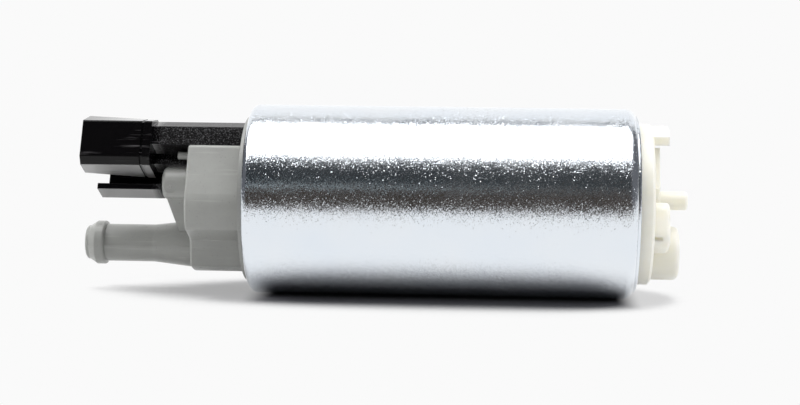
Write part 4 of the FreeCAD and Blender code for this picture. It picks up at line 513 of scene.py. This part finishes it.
def moulded_plastic(name, shade, deep_shade, roughness, texture_mm, relief_mm, scuff_shade,
                    scuffs, painted_underside_colour=None, light_in=0.0, matt_rise=0.0, flecks=0.0, shine=0.5):
    """A moulded skin: flow clouds, a fine eroded texture, soft edges, pale scuffs and a painted
    underside.
    """
    material = bpy.data.materials.new(name)
    tree = new_tree(material)
    place = add_node(tree, "ShaderNodeTexCoord")
    clouds = add_node(tree, "ShaderNodeTexNoise",
                      {"Scale": per_metre(FLOW_CLOUD_MM), "Detail": 4.0, "Roughness": 0.6},
                      {"Vector": (place, "Object")})
    speckle = add_node(tree, "ShaderNodeTexNoise",
                       {"Scale": per_metre(texture_mm), "Detail": 2.0, "Roughness": 0.6},
                       {"Vector": (place, "Object")})
    stretch = add_node(tree, "ShaderNodeMapping",
                       {"Scale": (STREAK_SQUEEZE, 1.0, 1.0), "Rotation": (0.0, 0.04, 0.0)},
                       {"Vector": (place, "Object")})
    streaks = add_node(tree, "ShaderNodeTexNoise",
                       {"Scale": per_metre(STREAK_MM), "Detail": 3.0, "Roughness": 0.55},
                       {"Vector": (stretch, "Vector")})
    scuff = add_node(tree, "ShaderNodeMapRange",
                     {"From Min": 0.60, "From Max": 0.75, "To Max": scuffs},
                     {"Value": (streaks, "Fac")})
    flow = add_node(tree, "ShaderNodeMapRange", {"From Min": 0.3, "From Max": 0.7},
                    {"Value": (clouds, "Fac")})
    body = add_node(tree, "ShaderNodeMix",
                    {"data_type": "RGBA", COLOUR_A: linear(deep_shade), COLOUR_B: linear(shade)},
                    {FACTOR: (flow, "Result")})
    # From the polished part of the mould to the eroded one.
    axes = add_node(tree, "ShaderNodeSeparateXYZ", {}, {"Vector": (place, "Object")})
    matt = add_node(tree, "ShaderNodeMapRange",
                    {"From Min": POLISH_END_MM * MM,
                     "From Max": (POLISH_END_MM + POLISH_FADE_MM) * MM}, {"Value": (axes, "X")})
    # Painted light on the socket's underside, which faces the table: it is painted pale. A piece
    # given no underside colour gets its deeper tone there, a faint painted shade.
    facing = add_node(tree, "ShaderNodeVectorMath", {"operation": "DOT_PRODUCT", 1: UNDERSIDE},
                      {0: (place, "Normal")})
    below = add_node(tree, "ShaderNodeMapRange", {"From Min": 0.75, "From Max": 0.95},
                     {"Value": (facing, "Value")})
    painted_underside_share = add_node(tree, "ShaderNodeMath", {"operation": "SUBTRACT", "use_clamp": True},
                     {0: (below, "Result"), 1: (matt, "Result")})
    with_painted_underside = add_node(tree, "ShaderNodeMix",
                      {"data_type": "RGBA", COLOUR_B: linear(painted_underside_colour or deep_shade)},
                      {FACTOR: (painted_underside_share, 0), COLOUR_A: (body, MIXED_COLOUR)})
    scuffed = add_node(tree, "ShaderNodeMix",
                       {"data_type": "RGBA", COLOUR_B: linear(scuff_shade)},
                       {FACTOR: (scuff, "Result"), COLOUR_A: (with_painted_underside, MIXED_COLOUR)})
    # The eroded part's pale flecks.
    pits = add_node(tree, "ShaderNodeTexNoise",
                    {"Scale": per_metre(PIT_MM), "Detail": 1.0, "Roughness": 0.5},
                    {"Vector": (place, "Object")})
    pale = add_node(tree, "ShaderNodeMapRange",
                    {"From Min": 0.50, "From Max": 0.75, "To Max": flecks},
                    {"Value": (pits, "Fac")})
    fleck = add_node(tree, "ShaderNodeMath", {"operation": "MULTIPLY"},
                     {0: (pale, "Result"), 1: (matt, "Result")})
    colour = add_node(tree, "ShaderNodeMix", {"data_type": "RGBA", COLOUR_B: linear(PIT_SHADE)},
                      {FACTOR: (fleck, 0), COLOUR_A: (scuffed, MIXED_COLOUR)})
    # How rough it is: the texture, then the eroded part, then the scuffs.
    skin = add_node(tree, "ShaderNodeMapRange",
                    {"From Min": 0.3, "From Max": 0.7, "To Min": 0.8 * roughness,
                     "To Max": 1.2 * roughness}, {"Value": (speckle, "Fac")})
    duller = add_node(tree, "ShaderNodeMath", {"operation": "MULTIPLY_ADD", 1: matt_rise},
                      {0: (matt, "Result"), 2: (skin, "Result")})
    dull = add_node(tree, "ShaderNodeMath", {"operation": "MULTIPLY_ADD", 1: SCUFF_RISE},
                    {0: (scuff, "Result"), 2: (duller, 0)})
    # How deep the texture is: shallow where the mould was polished, deeper where it was eroded.
    coarse = add_node(tree, "ShaderNodeMapRange",
                      {"To Min": POLISHED_DEPTH, "To Max": 1.0 + FLECK_DEPTH * flecks},
                      {"Value": (matt, "Result")})
    grit = add_node(tree, "ShaderNodeMath", {"operation": "MULTIPLY"},
                    {0: (speckle, "Fac"), 1: (coarse, "Result")})
    edge = add_node(tree, "ShaderNodeBevel", {"samples": 4, "Radius": EDGE_RADIUS_MM * MM})
    relief = add_node(tree, "ShaderNodeBump", {"Strength": 0.35, "Distance": relief_mm * MM},
                      {"Height": (grit, 0), "Normal": (edge, 0)})
    surface = add_node(tree, "ShaderNodeBsdfPrincipled",
                       {"IOR": 1.48, "Specular IOR Level": shine, "Subsurface Weight": light_in,
                        "Subsurface Radius": (1.0, 0.95, 0.85),
                        "Subsurface Scale": LIGHT_DEPTH_MM * MM},
                       {"Base Color": (colour, MIXED_COLOUR), "Roughness": (dull, 0),
                        "Normal": (relief, 0)})
    add_node(tree, "ShaderNodeOutputMaterial", {}, {"Surface": (surface, 0)})
    return material


# Acetal with a little pigment: an even, half-matt grey with faint flow clouds.
finishes["grey_moulding"] = moulded_plastic(
    "moulded_grey_acetal", "#A0A19E", "#949592", roughness=0.33, texture_mm=0.5, relief_mm=0.03,
    scuff_shade="#C8C8C4", scuffs=0.25)
# Nylon: a deep gloss on the socket, matt and flecked on the foot. The socket's underside gets
# painted light.
finishes["black_moulding"] = moulded_plastic(
    "moulded_black_nylon", "#0B0A0B", "#070607", roughness=0.09, texture_mm=0.35, relief_mm=0.03,
    scuff_shade="#4A484A", scuffs=0.75, painted_underside_colour="#999999", matt_rise=0.27, flecks=0.7,
    shine=0.2)
# Acetal without pigment: creamy, with soft shadows, because light goes into it.
finishes["cream_moulding"] = moulded_plastic(
    "moulded_natural_acetal", "#F6F4EB", "#F1EEE1", roughness=0.38, texture_mm=0.6,
    relief_mm=0.02, scuff_shade="#FBF9F2", scuffs=0.2, light_in=0.8)
# A hard brown resin that stands the heat at the commutator: half matt.
finishes["phenolic"] = moulded_plastic(
    "moulded_brown_phenolic", "#4A2D1E", "#3A2216", roughness=0.40, texture_mm=0.4,
    relief_mm=0.02, scuff_shade="#6B4A38", scuffs=0.2)
print("moulded finishes:", [m.name for m in finishes.values()][1:])

# %% [markdown]
# The pieces inside the can are metals, carbon, ferrite and rubber. They are out of sight in the
# closed pump, but a cut view or a pulled-apart one shows them, so each gets the finish of its
# real material too. One function serves the metals: what differs is the colour, how smooth the
# making left them, and the size of the tool marks or grains, which are drawn coarse enough to
# show.

# %% Metals inside
PATCH_MM = 4


def worked_metal(name, shade, second_shade, roughness, grain_mm, relief_mm):
    """Bare metal with grains or tool marks of this size, and patches of a second tone."""
    material = bpy.data.materials.new(name)
    tree = new_tree(material)
    place = add_node(tree, "ShaderNodeTexCoord")
    patches = add_node(tree, "ShaderNodeTexNoise",
                       {"Scale": per_metre(PATCH_MM), "Detail": 4.0, "Roughness": 0.6},
                       {"Vector": (place, "Object")})
    grain = add_node(tree, "ShaderNodeTexNoise",
                     {"Scale": per_metre(grain_mm), "Detail": 3.0, "Roughness": 0.65},
                     {"Vector": (place, "Object")})
    tone = add_node(tree, "ShaderNodeMapRange", {"From Min": 0.35, "From Max": 0.65},
                    {"Value": (patches, "Fac")})
    colour = add_node(tree, "ShaderNodeMix",
                      {"data_type": "RGBA", COLOUR_A: linear(shade),
                       COLOUR_B: linear(second_shade)}, {FACTOR: (tone, "Result")})
    satin = add_node(tree, "ShaderNodeMapRange",
                     {"From Min": 0.3, "From Max": 0.7, "To Min": roughness - 0.06,
                      "To Max": roughness + 0.08}, {"Value": (grain, "Fac")})
    relief = add_node(tree, "ShaderNodeBump", {"Strength": 0.3, "Distance": relief_mm * MM},
                      {"Height": (grain, "Fac")})
    surface = add_node(tree, "ShaderNodeBsdfPrincipled", {"Metallic": 1.0},
                       {"Base Color": (colour, MIXED_COLOUR), "Roughness": (satin, "Result"),
                        "Normal": (relief, 0)})
    add_node(tree, "ShaderNodeOutputMaterial", {}, {"Surface": (surface, 0)})
    return material


# For each slot: its name, two shades, its roughness, and its grain's size and depth in mm.
metals = {
    # Ground, so it is close to a mirror, with fine marks of the wheel.
    "bright_steel": ("ground_bright_steel", "#C9C8C6", "#BDBCBA", 0.18, 0.2, 0.004),
    # Pressed powder full of oil: dull, brown and open-grained.
    "sintered_bronze": ("sintered_oil_bronze", "#B08A55", "#8E6B3E", 0.48, 0.25, 0.03),
    # Turned on a lathe, and pink where the brushes polish it.
    "copper": ("turned_copper", "#D9936E", "#C67E58", 0.28, 0.3, 0.01),
    # Tin over brass: white with a warm cast.
    "tinned_brass": ("tin_plated_brass", "#D6D2C4", "#C8C2AE", 0.24, 0.3, 0.006),
    # A stack of stampings under a thin oxide: grey and slightly blue.
    "iron_core": ("stamped_silicon_iron", "#8D8E92", "#77787C", 0.42, 0.5, 0.02),
    # Pressed powder, ground on its faces: an even, warm grey.
    "sintered_steel": ("sintered_steel", "#8F8D89", "#7C7A77", 0.40, 0.25, 0.02),
    # Drawn through a die, so it is bright along the wire.
    "spring_steel": ("drawn_spring_steel", "#B9B6B0", "#A5A29C", 0.24, 0.2, 0.004),
}
for slot, look in metals.items():
    finishes[slot] = worked_metal(*look)
print("metal finishes:", len(metals))

# %% [markdown]
# Carbon, ferrite and rubber are dark and dull. Carbon and ferrite are pressed powders, so each
# shows the grain of its powder. A rubber ring shows the matt skin of its mould.

# %% Carbon, ferrite and rubber
def dull_solid(name, shade, second_shade, roughness, grain_mm, relief_mm):
    """A dark, non-metallic solid with the grain of its powder or its mould."""
    material = bpy.data.materials.new(name)
    tree = new_tree(material)
    place = add_node(tree, "ShaderNodeTexCoord")
    grain = add_node(tree, "ShaderNodeTexNoise",
                     {"Scale": per_metre(grain_mm), "Detail": 4.0, "Roughness": 0.7},
                     {"Vector": (place, "Object")})
    colour = add_node(tree, "ShaderNodeMix",
                      {"data_type": "RGBA", COLOUR_A: linear(shade),
                       COLOUR_B: linear(second_shade)}, {FACTOR: (grain, "Fac")})
    satin = add_node(tree, "ShaderNodeMapRange",
                     {"From Min": 0.3, "From Max": 0.7, "To Min": roughness - 0.08,
                      "To Max": roughness + 0.08}, {"Value": (grain, "Fac")})
    relief = add_node(tree, "ShaderNodeBump", {"Strength": 0.4, "Distance": relief_mm * MM},
                      {"Height": (grain, "Fac")})
    surface = add_node(tree, "ShaderNodeBsdfPrincipled", {"IOR": 1.5},
                       {"Base Color": (colour, MIXED_COLOUR), "Roughness": (satin, "Result"),
                        "Normal": (relief, 0)})
    add_node(tree, "ShaderNodeOutputMaterial", {}, {"Surface": (surface, 0)})
    return material


# For each slot: its name, two shades, its roughness, and its grain's size and depth in mm.
dull_solids = {
    # Pressed with graphite: nearly black, with a soft sheen.
    "carbon": ("pressed_carbon", "#2A2A2C", "#3A3A3D", 0.5, 0.2, 0.02),
    # Pressed and fired, as a ceramic is: dark grey and dull.
    "ferrite": ("sintered_ferrite", "#3B3A3C", "#4A494B", 0.6, 0.3, 0.03),
    # Moulded nitrile rubber: black and evenly matt.
    "seal_rubber": ("moulded_nitrile_rubber", "#1E1E1F", "#262627", 0.55, 0.4, 0.02),
}
for slot, look in dull_solids.items():
    finishes[slot] = dull_solid(*look)
print("dull finishes:", len(dull_solids))

# %% [markdown]
# The armature's coils are enamelled wire, half a millimetre thick, laid side by side. Bands of
# that pitch across the solid coils give the eye the single wires, and the enamel is a clear coat
# over the copper.

# %% Enamelled wire
WIRE_MM = 0.5
WIRE_RELIEF_MM = 0.1
WAVE_PITCH = 0.3                    # about how far apart the bands lie at a scale of 1


def enamelled_wire(name, wire_mm):
    """Copper wires side by side under a clear enamel."""
    material = bpy.data.materials.new(name)
    tree = new_tree(material)
    place = add_node(tree, "ShaderNodeTexCoord")
    turns = add_node(tree, "ShaderNodeTexWave",
                     {"wave_type": "BANDS", "bands_direction": "DIAGONAL",
                      "Scale": WAVE_PITCH * per_metre(wire_mm), "Distortion": 0.6,
                      "Detail": 1.0}, {"Vector": (place, "Object")})
    tone = add_node(tree, "ShaderNodeMix",
                    {"data_type": "RGBA", COLOUR_A: linear("#7A3A1C"),
                     COLOUR_B: linear("#C0703C")}, {FACTOR: (turns, "Fac")})
    relief = add_node(tree, "ShaderNodeBump", {"Strength": 0.6, "Distance": WIRE_RELIEF_MM * MM},
                      {"Height": (turns, "Fac")})
    surface = add_node(tree, "ShaderNodeBsdfPrincipled",
                       {"Metallic": 1.0, "Roughness": 0.3, "Coat Weight": 0.7,
                        "Coat Roughness": 0.12},
                       {"Base Color": (tone, MIXED_COLOUR), "Normal": (relief, 0)})
    add_node(tree, "ShaderNodeOutputMaterial", {}, {"Surface": (surface, 0)})
    return material


wound = {"armature_windings": enamelled_wire("enamelled_copper_wire", WIRE_MM)}
print("wound:", list(wound))

# %% [markdown]
# Every solid's slot in the record says what it is made of, so the slot picks the finish. The
# armature's coils share their copper slot with the commutator, and get a finish of their own.

# %% Dress every solid in the finish of its slot
for part in frame["record"]["subparts"]:
    solid = nodes[part["node"]]
    solid.data.materials.clear()
    solid.data.materials.append(wound.get(part["node"], finishes[part["material_slot"]]))
print("dressed", len(nodes), "solids in", len(finishes) + len(wound), "finishes")

# %% [markdown]
# A solid model leaves out what the moulds leave behind: the line where two mould halves met, the
# stub where the plastic flowed in, and the rings of the pins that pushed the part out. Each is a
# few hundredths of a millimetre high, and a stub about two tenths. A ray finds the skin that it
# sits on, so no place is guessed.

# %% Tools for small marks
def skin_of(node):
    """A search tree over one solid's surface."""
    solid = nodes[node].data
    corners = [v.co for v in solid.vertices]
    return BVHTree.FromPolygons(corners, [tuple(p.vertices) for p in solid.polygons])


def skin_point(skin, start_mm, way):
    """Where a ray from a place in millimetres first meets a skin, and the way the skin faces."""
    point, facing, _, _ = skin.ray_cast(Vector(start_mm) * MM, Vector(way))
    return point, facing


def upright_on(point, facing):
    """The placement that stands on a skin at this point."""
    return Matrix.Translation(point) @ facing.to_track_quat("Z", "Y").to_matrix().to_4x4()


def add_ring(mesh, point, facing, radius_mm, width_mm, height_mm):
    """A low ring with a flat crest, standing on the skin."""
    others = set(mesh.verts)
    section = ((-0.5, -height_mm), (-0.25, height_mm), (0.25, height_mm), (0.5, -height_mm))
    corners = [mesh.verts.new(((radius_mm + share * width_mm) * MM, 0, z * MM))
               for share, z in section]
    edges = [mesh.edges.new(pair) for pair in zip(corners, corners[1:])]
    bmesh.ops.spin(mesh, geom=corners + edges, axis=(0, 0, 1), cent=(0, 0, 0), angle=math.tau,
                   steps=40, use_merge=True)
    ring = [v for v in mesh.verts if v not in others]
    bmesh.ops.transform(mesh, verts=ring, matrix=upright_on(point, facing))


def add_stub(mesh, point, facing, foot_mm, top_mm, depth_mm, middle_mm):
    """A torn gate: a low cone with its middle this high over the skin and its foot in it."""
    bmesh.ops.create_cone(mesh, cap_ends=True, segments=20, radius1=foot_mm * MM,
                          radius2=top_mm * MM, depth=depth_mm * MM,
                          matrix=upright_on(point + facing * middle_mm * MM, facing))


def finished_piece(name, mesh, slot, body):
    """Turn a bmesh into a piece that rides on a body and takes the finish of a slot."""
    bmesh.ops.recalc_face_normals(mesh, faces=mesh.faces)
    piece = add_mesh(name, mesh, finishes[slot])
    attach(piece, body)
    print("made", name, "with", len(piece.data.polygons), "faces")


# %% [markdown]
# The hose nipple is moulded lying between two halves of the mould, so a fine ridge of flash runs
# along it on the side that faces the viewer. The ridge follows the skin from the housing to the
# barb in small steps.

# %% The nipple's parting line
NIPPLE_AXIS_Z = -10.1
NEAR_SIDE_Y = -25.0                 # where rays at the pump's near side start
RIDGE_START_X, RIDGE_STEP, RIDGE_ROWS = -48.4, 0.5, 53
RIDGE_HEIGHT_MM, RIDGE_HALF_MM = 0.05, 0.09

cover_skin = skin_of("outlet_cover")
mesh = bmesh.new()
rows = []
for row in range(RIDGE_ROWS):
    start = (RIDGE_START_X - RIDGE_STEP * row, NEAR_SIDE_Y, NIPPLE_AXIS_Z)
    point, facing = skin_point(cover_skin, start, (0, 1, 0))
    out = facing * RIDGE_HEIGHT_MM * MM
    half = Vector((0, 0, RIDGE_HALF_MM * MM))
    rows.append([mesh.verts.new(v) for v in (point + half - out, point + out, point - half - out)])
for near_row, far_row in zip(rows, rows[1:]):
    for i in range(2):
        mesh.faces.new((near_row[i], near_row[i + 1], far_row[i + 1], far_row[i]))
finished_piece("nipple_parting_line", mesh, "grey_moulding", "pump_body")

# %% [markdown]
# The grey cover was filled through a pin gate on the relief valve's boss. The sprue was torn off
# there, which leaves a small shiny stub inside a shallow ring. Two ejector pins pushed on the
# housing's upper side and one on its back.

# %% Gate and ejector marks of the cover
PIN_PLACES = (((-44.0, -3.0, 40.0), (0, 0, -1)), ((-45.0, 9.0, 40.0), (0, 0, -1)),
              ((-45.0, 40.0, 0.0), (0, -1, 0)))

mesh = bmesh.new()
point, facing = skin_point(cover_skin, (-55.1, NEAR_SIDE_Y, 3.0), (0, 1, 0))
add_stub(mesh, point, facing, foot_mm=0.42, top_mm=0.26, depth_mm=0.22, middle_mm=0.08)
add_ring(mesh, point, facing, radius_mm=1.15, width_mm=0.16, height_mm=0.02)
for start, way in PIN_PLACES:
    point, facing = skin_point(cover_skin, start, way)
    add_ring(mesh, point, facing, radius_mm=1.0, width_mm=0.18, height_mm=0.03)
finished_piece("cover_mould_marks", mesh, "grey_moulding", "pump_body")

# %% [markdown]
# The inlet cap has four ejector marks on its flat face, spread so that the cap came out straight,
# and a gate stub near the rim.

# %% Marks of the inlet cap
PAST_CAP_X = 60.0                   # where rays at the cap's face start

cap_skin = skin_of("inlet_cap")
mesh = bmesh.new()
for y, z in ((3.5, 13.6), (13.4, 3.5), (9.0, -11.0), (-12.6, 5.0)):
    point, facing = skin_point(cap_skin, (PAST_CAP_X, y, z), (-1, 0, 0))
    print("cap mark at", in_mm(point), "mm")
    add_ring(mesh, point, facing, radius_mm=1.25, width_mm=0.2, height_mm=0.03)
point, facing = skin_point(cap_skin, (PAST_CAP_X, 9.5, 10.2), (-1, 0, 0))
add_stub(mesh, point, facing, foot_mm=0.5, top_mm=0.3, depth_mm=0.24, middle_mm=0.1)
finished_piece("cap_mould_marks", mesh, "cream_moulding", "pump_body")
